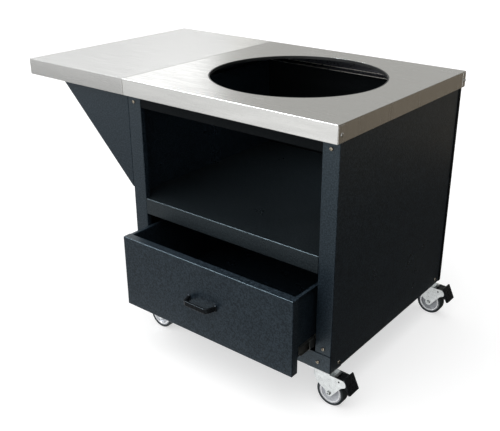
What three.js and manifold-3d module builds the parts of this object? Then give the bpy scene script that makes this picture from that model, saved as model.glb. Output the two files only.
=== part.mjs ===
// Rolling table for a kamado grill. A folded steel cabinet on four braked swivel casters carries a
// stainless worktop with a round hole for the grill, and a stainless side shelf on two gussets.
// Millimetres, +Z up, X to the right, Y to the back. The floor is Z = 0 and X = Y = 0 is under the
// worktop's centre, until the last lines centre the whole table over the origin.

import * as THREE from "three";
import { mergeVertices } from "three/addons/utils/BufferGeometryUtils.js";
import Module from "manifold-3d";

// Overall sizes
const TOP_WIDTH = 750;
const TOP_DEPTH = 730;
const SHELF_WIDTH = 440;
const TOP_HEIGHT = 838;
const APRON_HEIGHT = 50;
const HOLE_MARGIN = 97;

// Sheet metal
const TOP_SHEET = 1.2;
const BODY_SHEET = 1.5;
const BEND_RADIUS = 1.5;
const BEND_STEPS = 3;
const HEM_WIDTH = 13;
const GAP = 0.3;
const OVERRUN = 1;

// Cabinet
const SIDE_OVERHANG = 1.8;
const FRONT_OVERHANG = 16.6;
const REAR_OVERHANG = 19.2;
const POST_WIDTH = 52;
const POST_LIP = 15;
const BACK_WRAP = 17;
const FRONT_RAIL_DROP = 84;
const TOP_RAIL_DROP = 56;
const TOP_RAIL_FLANGE = 25;
const BASE_RAIL_HEIGHT = 55;
const MIDDLE_SHELF_DROP = 372;
const MIDDLE_RAIL_HEIGHT = 51;
const SHELF_LIP = 20;

// Gussets under the side shelf
const GUSSET_TIP_INSET = 94;
const GUSSET_DROP = 349;
const GUSSET_FLANGE = 18;

// Edging of the round hole
const TRIM_WALL = 1.7;
const TRIM_DEPTH = 9;
const TRIM_FOOT = 5;

// Drawer, drawn at its resting place, part way open
const DRAWER_OPEN = 78;
const DRAWER_BUMPER_GAP = 0.8;
const DRAWER_SIDE_GAP = 2.2;
const DRAWER_TOP_GAP = 38.6;
const DRAWER_RAIL_OVERLAP = 29.6;
const DRAWER_FRONT_THICKNESS = 26;
const DRAWER_REAR_SPACE = 135;
const DRAWER_FLOOR_GAP = 4.4;
const DRAWER_RIM = 10;
const DRAWER_RIM_STEP = 1;

// Drawer slides: three nested channels a side, on a support folded from sheet. The play is the
// room for the balls between one channel and the next.
const SUPPORT_SETBACK = 1.8;
const SUPPORT_HEIGHT = 48;
const SLIDE_SPACE = 13.4;
const SLIDE_RISE = 28;
const SLIDE_SETBACK = 18;
const SLIDE_SHORTFALL = 10;
const SLIDE_SHEET = 1.2;
const SLIDE_PLAY = 0.5;
const CABINET_MEMBER_HEIGHT = 35;
const CABINET_MEMBER_FLANGE = 9;
const MIDDLE_MEMBER_FLANGE = 7;

// Bow handle
const HANDLE_LENGTH = 116;
const HANDLE_BAR_LENGTH = 92;
const HANDLE_REACH = 35;
const HANDLE_BAR = 8;
const HANDLE_FOOT = 11;
const HANDLE_HEIGHT = 19;

// Casters, each drawn with its wheel trailing to +X
const FRONT_SWIVEL_INSET = 38.2;
const REAR_SWIVEL_INSET = 43;
const SWIVEL_END_INSET = 30.4;
const PLATE_LENGTH = 76;
const PLATE_WIDTH = 60;
const PLATE_THICKNESS = 3;
const RACE_RADIUS = 19;
const RACE_FLARE = 2;
const RACE_CUP_HEIGHT = 3.7;
const KINGPIN_RADIUS = 5;
const KINGPIN_HEAD_RADIUS = 8;
const KINGPIN_HEAD_HEIGHT = 4;
const RUNNING_GAP = 0.3;

// Caster wheel
const WHEEL_RADIUS = 44;
const WHEEL_HEADROOM = 28;
const WHEEL_TRAIL = 31;
const TYRE_WIDTH = 29;
const TYRE_THICKNESS = 7;
const TYRE_SHOULDER = 3;
const RIM_WIDTH = 26;
const RIM_WALL = 6;
const RIM_SLOPE = 2;
const HUB_RADIUS = 11;
const HUB_STAND = 2;
const WEB_THICKNESS = 13;
const AXLE_RADIUS = 4;
const NUT_RADIUS = 7.5;
const NUT_THICKNESS = 5;
const NUT_SIDES = 6;

// Caster fork, in the plane of the wheel
const FORK_SHEET = 2.5;
const FORK_SIDE_GAP = 3;
const CROWN_DROP = 12;
const CROWN_END = 52;
const NOSE_SETBACK = 12;
const NOSE_EDGE = 5;
const LEG_FRONT_DROP = 48;
const LEG_BOSS_RADIUS = 11;
const LEG_BOSS_START = THREE.MathUtils.degToRad(155);
const LEG_BOSS_END = THREE.MathUtils.degToRad(330);
const LOBE_REACH = 85;
const LOBE_DEPTH = 23;

// Brake pedal, on a pin through the fork's lobes
const PEDAL_PIN_REACH = 62;
const PEDAL_PIN_DROP = 22;
const PEDAL_PIN_RADIUS = 2.5;
const PEDAL_CROWN_GAP = 3;
const PEDAL_REACH = 104;
const PEDAL_TOP_DROP = 3;
const PEDAL_TIP_DROP = 52;
const PEDAL_ARM_WIDTH = 32;
const PEDAL_TAB_WIDTH = 46;

// Fasteners
const BOLT_RADIUS = 3;
const BOLT_HEAD_RADIUS = 5.6;
const BOLT_HEAD_HEIGHT = 3.2;
const BOLT_LENGTH = 7;
const POST_BOLT_INSET = 25;
const POST_TOP_BOLT_DROP = 69;
const POST_FOOT_BOLT_RISE = 18;
const BASE_BOLT_INSET = 40;
const BASE_BOLT_RISE = 26;
const SIDE_BOLT_INSET = 44;
const SIDE_BOLT_RISE = 18;
const RIVET_FRONT_INSET = 17;
const RIVET_REAR_INSET = 8;
const RIVET_DROP = 28;

// Roundness of turned and curved pieces
const FINE_STEPS = 64;
const WHEEL_STEPS = 28;
const PIN_STEPS = 20;
const BOLT_STEPS = 12;
const CURVE_STEPS = 5;
const MERGE_DISTANCE = 1e-4;

// Planes and heights that several pieces share
const BODY_SIDE = TOP_WIDTH / 2 - SIDE_OVERHANG;
const BODY_FRONT = -TOP_DEPTH / 2 + FRONT_OVERHANG;
const BODY_REAR = TOP_DEPTH / 2 - REAR_OVERHANG;
const CASTER_HEIGHT = 2 * WHEEL_RADIUS + WHEEL_HEADROOM;
const BODY_BOTTOM = CASTER_HEIGHT;
const BASE_RAIL_TOP = BODY_BOTTOM + BASE_RAIL_HEIGHT;
const BASE_RAIL_FACE = BODY_FRONT - GAP - BODY_SHEET;
const INNER_SIDE = BODY_SIDE - BODY_SHEET - GAP;
const INNER_REAR = BODY_REAR - BODY_SHEET - GAP;
const POST_INNER = BODY_SIDE - POST_WIDTH;
const POST_REAR = BODY_FRONT + POST_LIP + GAP;
const DECK_UNDERSIDE = TOP_HEIGHT - TOP_SHEET;
const BODY_TOP = DECK_UNDERSIDE - 2 * GAP;
const APRON_BOTTOM = TOP_HEIGHT - APRON_HEIGHT;
const MIDDLE_SHELF_TOP = TOP_HEIGHT - MIDDLE_SHELF_DROP;
const MIDDLE_RAIL_LOW = MIDDLE_SHELF_TOP - MIDDLE_RAIL_HEIGHT;
const BEND_OUTSIDE = BODY_SHEET + BEND_RADIUS;

const wasm = await Module();
wasm.setup();

// Solids: a closed geometry becomes a solid to be joined and cut, and a geometry again afterwards.
function solid(geometry) {
  const bare = geometry.clone();
  bare.deleteAttribute("normal");
  bare.deleteAttribute("uv");
  const merged = mergeVertices(bare, MERGE_DISTANCE);
  const corners = merged.index.array;
  const triangles = [];
  for (let i = 0; i < corners.length; i += 3) {
    const [a, b, c] = [corners[i], corners[i + 1], corners[i + 2]];
    if (a !== b && b !== c && c !== a) triangles.push(a, b, c);
  }
  return new wasm.Manifold(new wasm.Mesh({
    numProp: 3,
    vertProperties: new Float32Array(merged.attributes.position.array),
    triVerts: new Uint32Array(triangles),
  }));
}

function geometryOf(manifold) {
  const { vertProperties, triVerts } = manifold.getMesh();
  const geometry = new THREE.BufferGeometry();
  geometry.setAttribute("position", new THREE.BufferAttribute(vertProperties, 3));
  geometry.setIndex(new THREE.BufferAttribute(triVerts, 1));
  geometry.computeVertexNormals();
  return geometry;
}

function join(...pieces) {
  return geometryOf(pieces.map(solid).reduce((sum, piece) => sum.add(piece)));
}

function cut(piece, ...tools) {
  return geometryOf(tools.map(solid).reduce((rest, tool) => rest.subtract(tool), solid(piece)));
}

function common(first, second) {
  return geometryOf(solid(first).intersect(solid(second)));
}

// Plain shapes
function span(from, to) {
  const [width, depth, height] = from.map((low, i) => Math.abs(to[i] - low));
  const middle = from.map((low, i) => (low + to[i]) / 2);
  return new THREE.BoxGeometry(width, depth, height).translate(...middle);
}

const X_AXIS = new THREE.Vector3(1, 0, 0);
const Y_AXIS = new THREE.Vector3(0, 1, 0);
const Z_AXIS = new THREE.Vector3(0, 0, 1);
const SECTION_PLANES = {
  x: new THREE.Matrix4().makeBasis(Y_AXIS, Z_AXIS, X_AXIS),
  y: new THREE.Matrix4().makeBasis(X_AXIS, Z_AXIS, Y_AXIS.clone().negate()),
  z: new THREE.Matrix4(),
};

// A section drawn in the plane square to the axis: YZ for x, XZ for y and XY for z.
function prism(section, axis, from, to) {
  const geometry = new THREE.ExtrudeGeometry(section, {
    depth: to - from,
    bevelEnabled: false,
    curveSegments: CURVE_STEPS,
  });
  geometry.applyMatrix4(SECTION_PLANES[axis]);
  const start = { x: [from, 0, 0], y: [0, to, 0], z: [0, 0, from] }[axis];
  return geometry.translate(...start);
}

function outline(points) {
  return new THREE.Shape(points.map(([u, v]) => new THREE.Vector2(u, v)));
}

function turned(profile, steps) {
  const points = profile.map(([radius, height]) => new THREE.Vector2(radius, height));
  return new THREE.LatheGeometry(points, steps);
}

function upright(geometry) {
  return geometry.rotateX(Math.PI / 2);
}

function cylinder(radius, axis, [x, y, z], length, steps) {
  const geometry = new THREE.CylinderGeometry(radius, radius, length, steps);
  if (axis === "x") geometry.rotateZ(Math.PI / 2);
  if (axis === "z") geometry.rotateX(Math.PI / 2);
  return geometry.translate(x, y, z);
}

// Sheet metal. A bent sheet's path runs along one face, and the sheet lies to the left of it where
// side is 1 and to the right where side is -1. Every bend has the same inner radius.
function bentFace(path, thickness, side, offset) {
  const runs = path.slice(1).map((point, i) => point.clone().sub(path[i]).normalize());
  const normals = runs.map((run) => new THREE.Vector2(-run.y, run.x).multiplyScalar(side));
  const face = [path[0].clone().addScaledVector(normals[0], offset)];
  for (let i = 1; i < runs.length; i += 1) {
    const turn = Math.atan2(runs[i - 1].cross(runs[i]), runs[i - 1].dot(runs[i]));
    const reach = Math.sign(turn) === side ? thickness + BEND_RADIUS : -BEND_RADIUS;
    const spread = reach / (1 + normals[i - 1].dot(normals[i]));
    const centre = normals[i - 1].clone().add(normals[i]).multiplyScalar(spread).add(path[i]);
    for (let step = 0; step <= BEND_STEPS; step += 1) {
      const arm = normals[i - 1].clone().multiplyScalar(offset - reach);
      arm.rotateAround(new THREE.Vector2(), (turn * step) / BEND_STEPS);
      face.push(arm.add(centre));
    }
  }
  const last = normals.at(-1);
  face.push(path.at(-1).clone().addScaledVector(last, offset));
  return face;
}

function bentSheet(points, thickness, side) {
  const path = points.map(([u, v]) => new THREE.Vector2(u, v));
  const near = bentFace(path, thickness, side, 0);
  const far = bentFace(path, thickness, side, thickness);
  return new THREE.Shape([...near, ...far.reverse()]);
}

function archedOutline(from, to, low, high, radius) {
  const shape = new THREE.Shape();
  shape.moveTo(from, low);
  shape.lineTo(to, low);
  shape.absarc(to - radius, high - radius, radius, 0, Math.PI / 2);
  shape.absarc(from + radius, high - radius, radius, Math.PI / 2, Math.PI);
  return shape;
}

function archedBlock([x0, y0, low], [x1, y1, high], radius) {
  return common(
    prism(archedOutline(x0, x1, low, high, radius), "y", y0, y1),
    prism(archedOutline(y0, y1, low, high, radius), "x", x0, x1),
  );
}

// A tray is a flat sheet with its four edges folded down.
function tray([x0, y0, low], [x1, y1, high], sheet) {
  const outside = archedBlock([x0, y0, low], [x1, y1, high], BEND_RADIUS + sheet);
  const insideLow = [x0 + sheet, y0 + sheet, low - sheet];
  const insideHigh = [x1 - sheet, y1 - sheet, high - sheet];
  return cut(outside, archedBlock(insideLow, insideHigh, BEND_RADIUS));
}

// Materials
function finish(color, roughness, metalness) {
  return new THREE.MeshStandardMaterial({ color, roughness, metalness, flatShading: true });
}

const STAINLESS = finish(0xc9cbca, 0.35, 0.9);
const POWDER_COAT = finish(0x2f3640, 0.6, 0.3);
const BLACK_SHEET = finish(0x161614, 0.55, 0.3);
const BLACK_RUBBER = finish(0x0c0c0c, 0.8, 0);
const BLACK_PLASTIC = finish(0x1b1b1c, 0.5, 0);
const ZINC = finish(0xc4c8ca, 0.35, 0.9);
const GREY_PLASTIC = finish(0xc8ccce, 0.5, 0);
const GREY_TREAD = finish(0x4b4c4e, 0.7, 0);

const table = new THREE.Group();

function place(group, name, geometry, material) {
  const mesh = new THREE.Mesh(geometry, material);
  mesh.name = name;
  group.add(mesh);
}

// Bolt places: the point on the sheet's outer face, and the way that the head faces.
const FRONT = new THREE.Vector3(0, -1, 0);
const RIGHT = new THREE.Vector3(1, 0, 0);
const BOLTS = [];
for (const [name, side] of [["left", -1], ["right", 1]]) {
  const postX = side * (BODY_SIDE - POST_BOLT_INSET);
  const baseX = side * (BODY_SIDE - BASE_BOLT_INSET);
  BOLTS.push(
    [`${name}_post_top_bolt`, FRONT, [postX, BODY_FRONT, TOP_HEIGHT - POST_TOP_BOLT_DROP]],
    [`${name}_post_foot_bolt`, FRONT, [postX, BODY_FRONT, BASE_RAIL_TOP + POST_FOOT_BOLT_RISE]],
    [`${name}_base_rail_bolt`, FRONT, [baseX, BASE_RAIL_FACE, BODY_BOTTOM + BASE_BOLT_RISE]],
  );
}
const SIDE_BOLT_HEIGHT = BODY_BOTTOM + SIDE_BOLT_RISE;
const RIVET_HEIGHT = TOP_HEIGHT - RIVET_DROP;
BOLTS.push(
  ["front_side_bolt", RIGHT, [BODY_SIDE, BODY_FRONT + SIDE_BOLT_INSET, SIDE_BOLT_HEIGHT]],
  ["rear_side_bolt", RIGHT, [BODY_SIDE, BODY_REAR - SIDE_BOLT_INSET, SIDE_BOLT_HEIGHT]],
  ["front_apron_rivet", RIGHT, [TOP_WIDTH / 2, -TOP_DEPTH / 2 + RIVET_FRONT_INSET, RIVET_HEIGHT]],
  ["rear_apron_rivet", RIGHT, [TOP_WIDTH / 2, TOP_DEPTH / 2 - RIVET_REAR_INSET, RIVET_HEIGHT]],
);
const BOLT_HOLES = BOLTS.map(([, facing, point]) => {
  const axis = facing === FRONT ? "y" : "x";
  return cylinder(BOLT_RADIUS + GAP, axis, point, 2 * (BOLT_LENGTH + OVERRUN), BOLT_STEPS);
});

// Cabinet
const SLIDE_HEIGHT = BASE_RAIL_TOP + SLIDE_RISE;
const SUPPORT_FACE = POST_INNER - SUPPORT_SETBACK;

function sidePanel(side) {
  const path = [
    [side * BODY_SIDE, INNER_REAR - BEND_RADIUS],
    [side * BODY_SIDE, BODY_FRONT],
    [side * POST_INNER, BODY_FRONT],
    [side * POST_INNER, BODY_FRONT + POST_LIP],
  ];
  const sheet = prism(bentSheet(path, BODY_SHEET, -side), "z", BODY_BOTTOM, BODY_TOP);
  const railSlot = span(
    [side * (POST_INNER + BEND_OUTSIDE), BODY_FRONT + BODY_SHEET, TOP_HEIGHT - FRONT_RAIL_DROP - GAP],
    [side * (POST_INNER - OVERRUN), POST_REAR, BODY_TOP + OVERRUN],
  );
  const footSlot = span(
    [side * (INNER_SIDE + GAP), BODY_FRONT - OVERRUN, BODY_BOTTOM - OVERRUN],
    [side * (POST_INNER - OVERRUN), POST_REAR, BODY_BOTTOM + BEND_OUTSIDE + GAP],
  );
  return cut(sheet, railSlot, footSlot, ...BOLT_HOLES);
}

function backPanel() {
  const wrap = BODY_SIDE + GAP + BODY_SHEET;
  const wrapTop = APRON_BOTTOM - GAP;
  const path = [
    [-wrap, BODY_REAR - BACK_WRAP],
    [-wrap, BODY_REAR],
    [wrap, BODY_REAR],
    [wrap, BODY_REAR - BACK_WRAP],
  ];
  const wrapped = prism(bentSheet(path, BODY_SHEET, -1), "z", BODY_BOTTOM, wrapTop);
  const upper = span(
    [-INNER_SIDE, BODY_REAR - BODY_SHEET, wrapTop - OVERRUN],
    [INNER_SIDE, BODY_REAR, BODY_TOP],
  );
  return join(wrapped, upper);
}

function baseTray() {
  const path = [
    [BASE_RAIL_FACE, BASE_RAIL_TOP],
    [BASE_RAIL_FACE, BODY_BOTTOM],
    [INNER_REAR, BODY_BOTTOM],
    [INNER_REAR, BASE_RAIL_TOP],
  ];
  const pieces = [prism(bentSheet(path, BODY_SHEET, 1), "x", -INNER_SIDE, INNER_SIDE)];
  for (const side of [-1, 1]) {
    const wallInside = side * (INNER_SIDE - BODY_SHEET);
    pieces.push(
      span(
        [wallInside, POST_REAR, BODY_BOTTOM],
        [side * INNER_SIDE, INNER_REAR - BEND_OUTSIDE, BASE_RAIL_TOP],
      ),
      span(
        [wallInside, BASE_RAIL_FACE, BODY_BOTTOM + BEND_OUTSIDE],
        [side * BODY_SIDE, BASE_RAIL_FACE + BODY_SHEET, BASE_RAIL_TOP],
      ),
    );
  }
  return cut(join(...pieces), ...BOLT_HOLES);
}

function middleShelf() {
  const lipLow = MIDDLE_SHELF_TOP - SHELF_LIP;
  const frontEnd = POST_INNER - GAP;
  const sideRear = INNER_REAR - BEND_OUTSIDE;
  const path = [
    [INNER_REAR, lipLow],
    [INNER_REAR, MIDDLE_SHELF_TOP],
    [BODY_FRONT, MIDDLE_SHELF_TOP],
    [BODY_FRONT, MIDDLE_RAIL_LOW],
  ];
  const pieces = [prism(bentSheet(path, BODY_SHEET, 1), "x", -frontEnd, frontEnd)];
  for (const side of [-1, 1]) {
    const edge = side * INNER_SIDE;
    pieces.push(
      span(
        [side * (frontEnd - OVERRUN), POST_REAR, MIDDLE_SHELF_TOP - BODY_SHEET],
        [edge, sideRear, MIDDLE_SHELF_TOP],
      ),
      span([side * (INNER_SIDE - BODY_SHEET), POST_REAR, lipLow], [edge, sideRear, MIDDLE_SHELF_TOP]),
    );
  }
  return join(...pieces);
}

// A channel's web has its outer face at face, and both flanges point the way of towards.
function channel(face, towards, low, high, flange) {
  const lip = face + towards * flange;
  const path = [
    [lip, low],
    [face, low],
    [face, high],
    [lip, high],
  ];
  return bentSheet(path, BODY_SHEET, -towards);
}

const FRONT_RAIL_FACE = BODY_FRONT + BODY_SHEET + GAP;
const SIDE_RAIL_FRONT = FRONT_RAIL_FACE + TOP_RAIL_FLANGE + GAP;
const SIDE_RAIL_REAR = INNER_REAR - TOP_RAIL_FLANGE - GAP;

function frontTopRail() {
  const low = TOP_HEIGHT - FRONT_RAIL_DROP;
  const section = channel(FRONT_RAIL_FACE, 1, low, BODY_TOP, TOP_RAIL_FLANGE);
  const end = INNER_SIDE - BEND_RADIUS;
  return cut(prism(section, "x", -end, end), ...BOLT_HOLES);
}

function rearTopRail() {
  const low = TOP_HEIGHT - TOP_RAIL_DROP;
  const section = channel(INNER_REAR, -1, low, BODY_TOP, TOP_RAIL_FLANGE);
  return prism(section, "x", -INNER_SIDE, INNER_SIDE);
}

function sideTopRail(side) {
  const low = TOP_HEIGHT - TOP_RAIL_DROP;
  const section = channel(side * INNER_SIDE, -side, low, BODY_TOP, TOP_RAIL_FLANGE);
  return prism(section, "y", SIDE_RAIL_FRONT, SIDE_RAIL_REAR);
}

function slideSupport(side) {
  const low = SLIDE_HEIGHT - SUPPORT_HEIGHT / 2;
  const flange = INNER_SIDE - SUPPORT_FACE;
  const section = channel(side * SUPPORT_FACE, side, low, low + SUPPORT_HEIGHT, flange);
  return prism(section, "y", POST_REAR, INNER_REAR - BEND_OUTSIDE);
}

const cabinet = new THREE.Group();
table.add(cabinet);
for (const [name, side] of [["left", -1], ["right", 1]]) {
  place(cabinet, `${name}_side_panel`, sidePanel(side), BLACK_SHEET);
  place(cabinet, `${name}_top_rail`, sideTopRail(side), POWDER_COAT);
  place(cabinet, `${name}_slide_support`, slideSupport(side), ZINC);
}
place(cabinet, "back_panel", backPanel(), BLACK_SHEET);
place(cabinet, "base_tray", baseTray(), POWDER_COAT);
place(cabinet, "middle_shelf", middleShelf(), POWDER_COAT);
place(cabinet, "front_top_rail", frontTopRail(), POWDER_COAT);
place(cabinet, "rear_top_rail", rearTopRail(), POWDER_COAT);

// Worktop, side shelf and gussets
const DECK_FRONT = -TOP_DEPTH / 2;
const DECK_REAR = TOP_DEPTH / 2;
const SHELF_RIGHT = -TOP_WIDTH / 2 - GAP;
const SHELF_LEFT = -TOP_WIDTH / 2 - SHELF_WIDTH;
const HOLE_RADIUS = Math.min(TOP_WIDTH, TOP_DEPTH) / 2 - HOLE_MARGIN;

// A worktop's aprons have a hem turned in along their foot, in front, at the back and, where leftHem
// is wider than the sheet, on the left.
function hemmedTop(from, to, leftHem) {
  const outside = archedBlock(
    [from, DECK_FRONT, APRON_BOTTOM],
    [to, DECK_REAR, TOP_HEIGHT],
    BEND_RADIUS + TOP_SHEET,
  );
  const inside = archedBlock(
    [from + TOP_SHEET, DECK_FRONT + TOP_SHEET, APRON_BOTTOM + TOP_SHEET],
    [to - TOP_SHEET, DECK_REAR - TOP_SHEET, DECK_UNDERSIDE],
    BEND_RADIUS,
  );
  const mouth = span(
    [from + leftHem, DECK_FRONT + HEM_WIDTH, APRON_BOTTOM - OVERRUN],
    [to - TOP_SHEET, DECK_REAR - HEM_WIDTH, APRON_BOTTOM + TOP_SHEET + OVERRUN],
  );
  return cut(outside, inside, mouth);
}

function mainTop() {
  const hole = cylinder(HOLE_RADIUS, "z", [0, 0, TOP_HEIGHT], APRON_HEIGHT, FINE_STEPS);
  return cut(hemmedTop(-TOP_WIDTH / 2, TOP_WIDTH / 2, TOP_SHEET), hole, ...BOLT_HOLES);
}

function holeTrim() {
  const outer = HOLE_RADIUS - GAP;
  const inner = outer - TRIM_WALL;
  const footTop = DECK_UNDERSIDE - GAP;
  const footLow = footTop - TRIM_WALL;
  const lip = TOP_HEIGHT - GAP;
  return upright(turned([
    [inner, lip - TRIM_DEPTH],
    [outer, lip - TRIM_DEPTH],
    [outer, footLow],
    [outer + TRIM_FOOT, footLow],
    [outer + TRIM_FOOT, footTop],
    [outer, footTop],
    [outer, lip],
    [inner, lip],
    [inner, lip - TRIM_DEPTH],
  ], FINE_STEPS));
}

// A gusset is a three-sided plate with a flange folded along the shelf, the cabinet and its slope.
// The front one has its plate in front and its flanges to the back, and the rear one the other way.
function gussetOutline(inset) {
  const right = -BODY_SIDE - GAP;
  const left = SHELF_LEFT + GUSSET_TIP_INSET;
  const low = TOP_HEIGHT - GUSSET_DROP;
  const slope = Math.atan2(BODY_TOP - low, right - left);
  const leftInset = inset / Math.tan(slope / 2);
  const lowInset = inset / Math.tan((Math.PI / 2 - slope) / 2);
  return outline([
    [right - inset, BODY_TOP - inset],
    [left + leftInset, BODY_TOP - inset],
    [right - inset, low + lowInset],
  ]);
}

function gusset(plateFace, towards) {
  const ends = (start, end) => [Math.min(start, end), Math.max(start, end)];
  const whole = ends(plateFace, plateFace + towards * GUSSET_FLANGE);
  const hollow = ends(
    plateFace + towards * BODY_SHEET,
    plateFace + towards * (GUSSET_FLANGE + OVERRUN),
  );
  const apronSlot = span(
    [SHELF_RIGHT - TOP_SHEET - 2 * GAP, whole[0] - OVERRUN, APRON_BOTTOM - GAP],
    [-BODY_SIDE, whole[1] + OVERRUN, BODY_TOP + OVERRUN],
  );
  return cut(
    prism(gussetOutline(0), "y", ...whole),
    prism(gussetOutline(BODY_SHEET), "y", ...hollow),
    apronSlot,
  );
}

const worktops = new THREE.Group();
table.add(worktops);
place(worktops, "main_top", mainTop(), STAINLESS);
place(worktops, "hole_trim", holeTrim(), BLACK_RUBBER);
place(worktops, "side_shelf_top", hemmedTop(SHELF_LEFT, SHELF_RIGHT, HEM_WIDTH), STAINLESS);
place(worktops, "front_shelf_gusset", gusset(BODY_FRONT, 1), POWDER_COAT);
place(worktops, "rear_shelf_gusset", gusset(BODY_REAR - BACK_WRAP - GAP, -1), POWDER_COAT);

// Drawer. The box stands between the slides, and its front covers the base rail's upper half.
const DRAWER_BACK_FACE = BASE_RAIL_FACE - DRAWER_BUMPER_GAP - DRAWER_OPEN;
const DRAWER_FACE = DRAWER_BACK_FACE - DRAWER_FRONT_THICKNESS;
const DRAWER_FRONT_TOP = MIDDLE_RAIL_LOW - DRAWER_TOP_GAP;
const DRAWER_FRONT_LOW = BASE_RAIL_TOP - DRAWER_RAIL_OVERLAP;
const DRAWER_MIDDLE_HEIGHT = (DRAWER_FRONT_TOP + DRAWER_FRONT_LOW) / 2;
const DRAWER_BOX_HALF = SUPPORT_FACE - SLIDE_SPACE;
const DRAWER_BOX_FRONT = DRAWER_BACK_FACE + GAP;
const DRAWER_BOX_REAR = INNER_REAR - DRAWER_REAR_SPACE - DRAWER_OPEN;
const DRAWER_BOX_TOP = DRAWER_FRONT_TOP - DRAWER_RIM_STEP;
const DRAWER_BOX_LOW = BASE_RAIL_TOP + DRAWER_FLOOR_GAP;

function drawerFront() {
  const halfWidth = POST_INNER - DRAWER_SIDE_GAP;
  const halfHeight = (DRAWER_FRONT_TOP - DRAWER_FRONT_LOW) / 2;
  const shell = tray(
    [-halfWidth, -halfHeight, -DRAWER_FRONT_THICKNESS],
    [halfWidth, halfHeight, 0],
    BODY_SHEET,
  );
  shell.rotateX(Math.PI / 2);
  return shell.translate(0, DRAWER_FACE, DRAWER_MIDDLE_HEIGHT);
}

function drawerBox() {
  const rimUnderside = DRAWER_BOX_TOP - BODY_SHEET;
  const path = [
    [-DRAWER_BOX_HALF - DRAWER_RIM, rimUnderside],
    [-DRAWER_BOX_HALF, rimUnderside],
    [-DRAWER_BOX_HALF, DRAWER_BOX_LOW],
    [DRAWER_BOX_HALF, DRAWER_BOX_LOW],
    [DRAWER_BOX_HALF, rimUnderside],
    [DRAWER_BOX_HALF + DRAWER_RIM, rimUnderside],
  ];
  const walls = prism(bentSheet(path, BODY_SHEET, 1), "y", DRAWER_BOX_FRONT, DRAWER_BOX_REAR);
  const wallMiddle = DRAWER_BOX_HALF - BODY_SHEET / 2;
  const betweenBends = DRAWER_BOX_HALF - BEND_OUTSIDE;
  const endWall = (y) => join(
    span(
      [-wallMiddle, y, DRAWER_BOX_LOW + BEND_OUTSIDE],
      [wallMiddle, y + BODY_SHEET, DRAWER_BOX_TOP - BEND_OUTSIDE],
    ),
    span(
      [-betweenBends, y, DRAWER_BOX_LOW + BODY_SHEET / 2],
      [betweenBends, y + BODY_SHEET, DRAWER_BOX_TOP],
    ),
  );
  return join(walls, endWall(DRAWER_BOX_FRONT), endWall(DRAWER_BOX_REAR - BODY_SHEET));
}

function drawerHandle() {
  const [half, barHalf] = [HANDLE_LENGTH / 2, HANDLE_BAR_LENGTH / 2];
  const barBack = HANDLE_BAR - HANDLE_REACH;
  const innerBarHalf = barHalf - HANDLE_FOOT / 2;
  const bow = outline([
    [-half, -GAP],
    [-barHalf, -HANDLE_REACH],
    [barHalf, -HANDLE_REACH],
    [half, -GAP],
    [half - HANDLE_FOOT, -GAP],
    [innerBarHalf, barBack],
    [-innerBarHalf, barBack],
    [HANDLE_FOOT - half, -GAP],
  ]);
  const solidBow = prism(bow, "z", -HANDLE_HEIGHT / 2, HANDLE_HEIGHT / 2);
  return solidBow.translate(0, DRAWER_FACE, DRAWER_MIDDLE_HEIGHT);
}

const drawer = new THREE.Group();
table.add(drawer);
place(drawer, "drawer_front", drawerFront(), POWDER_COAT);
place(drawer, "drawer_box", drawerBox(), POWDER_COAT);
place(drawer, "drawer_handle", drawerHandle(), BLACK_PLASTIC);

// Each slide member is a channel on its side: the cabinet's is widest, and the drawer's faces it.
function slideMember(side, web, flange, height, front) {
  const [low, high] = [SLIDE_HEIGHT - height / 2, SLIDE_HEIGHT + height / 2];
  const mouth = web + flange;
  const path = [[mouth, low], [web, low], [web, high], [mouth, high]];
  const mirrored = path.map(([x, z]) => [side * x, z]);
  const section = bentSheet(mirrored, SLIDE_SHEET, -side * Math.sign(flange));
  return prism(section, "y", front, front + SLIDE_LENGTH);
}

const SLIDE_LENGTH = DRAWER_BOX_REAR - DRAWER_BOX_FRONT - SLIDE_SHORTFALL;
const SLIDE_FRONT = BODY_FRONT + SLIDE_SETBACK;
const MIDDLE_FRONT = SLIDE_FRONT - DRAWER_OPEN / 2;
const DRAWER_FRONT = SLIDE_FRONT - DRAWER_OPEN;
const NESTING = SLIDE_SHEET + SLIDE_PLAY;
const CABINET_WEB = SUPPORT_FACE - GAP;
const MIDDLE_WEB = CABINET_WEB - NESTING;
const MIDDLE_MEMBER_HEIGHT = CABINET_MEMBER_HEIGHT - 2 * NESTING;
const DRAWER_WEB = DRAWER_BOX_HALF + GAP;
const DRAWER_MEMBER_HEIGHT = MIDDLE_MEMBER_HEIGHT - 2 * NESTING;
const DRAWER_MEMBER_FLANGE = MIDDLE_WEB - NESTING - DRAWER_WEB;
const SLIDE_MEMBERS = [
  ["cabinet", CABINET_WEB, -CABINET_MEMBER_FLANGE, CABINET_MEMBER_HEIGHT, SLIDE_FRONT],
  ["middle", MIDDLE_WEB, -MIDDLE_MEMBER_FLANGE, MIDDLE_MEMBER_HEIGHT, MIDDLE_FRONT],
  ["drawer", DRAWER_WEB, DRAWER_MEMBER_FLANGE, DRAWER_MEMBER_HEIGHT, DRAWER_FRONT],
];
const slides = new THREE.Group();
table.add(slides);
for (const [hand, side] of [["left", -1], ["right", 1]]) {
  for (const [member, ...sizes] of SLIDE_MEMBERS) {
    place(slides, `${hand}_slide_${member}_member`, slideMember(side, ...sizes), ZINC);
  }
}

// Caster pieces. Z = 0 is the cabinet's underside and the swivel axis is the Z axis.
const AXLE_HEIGHT = WHEEL_RADIUS - CASTER_HEIGHT;
const FORK_HALF_WIDTH = TYRE_WIDTH / 2 + FORK_SIDE_GAP + FORK_SHEET;
const CROWN_UNDERSIDE = -CROWN_DROP - FORK_SHEET;
const PLATE_MIDDLE = -GAP - PLATE_THICKNESS / 2;

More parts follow.
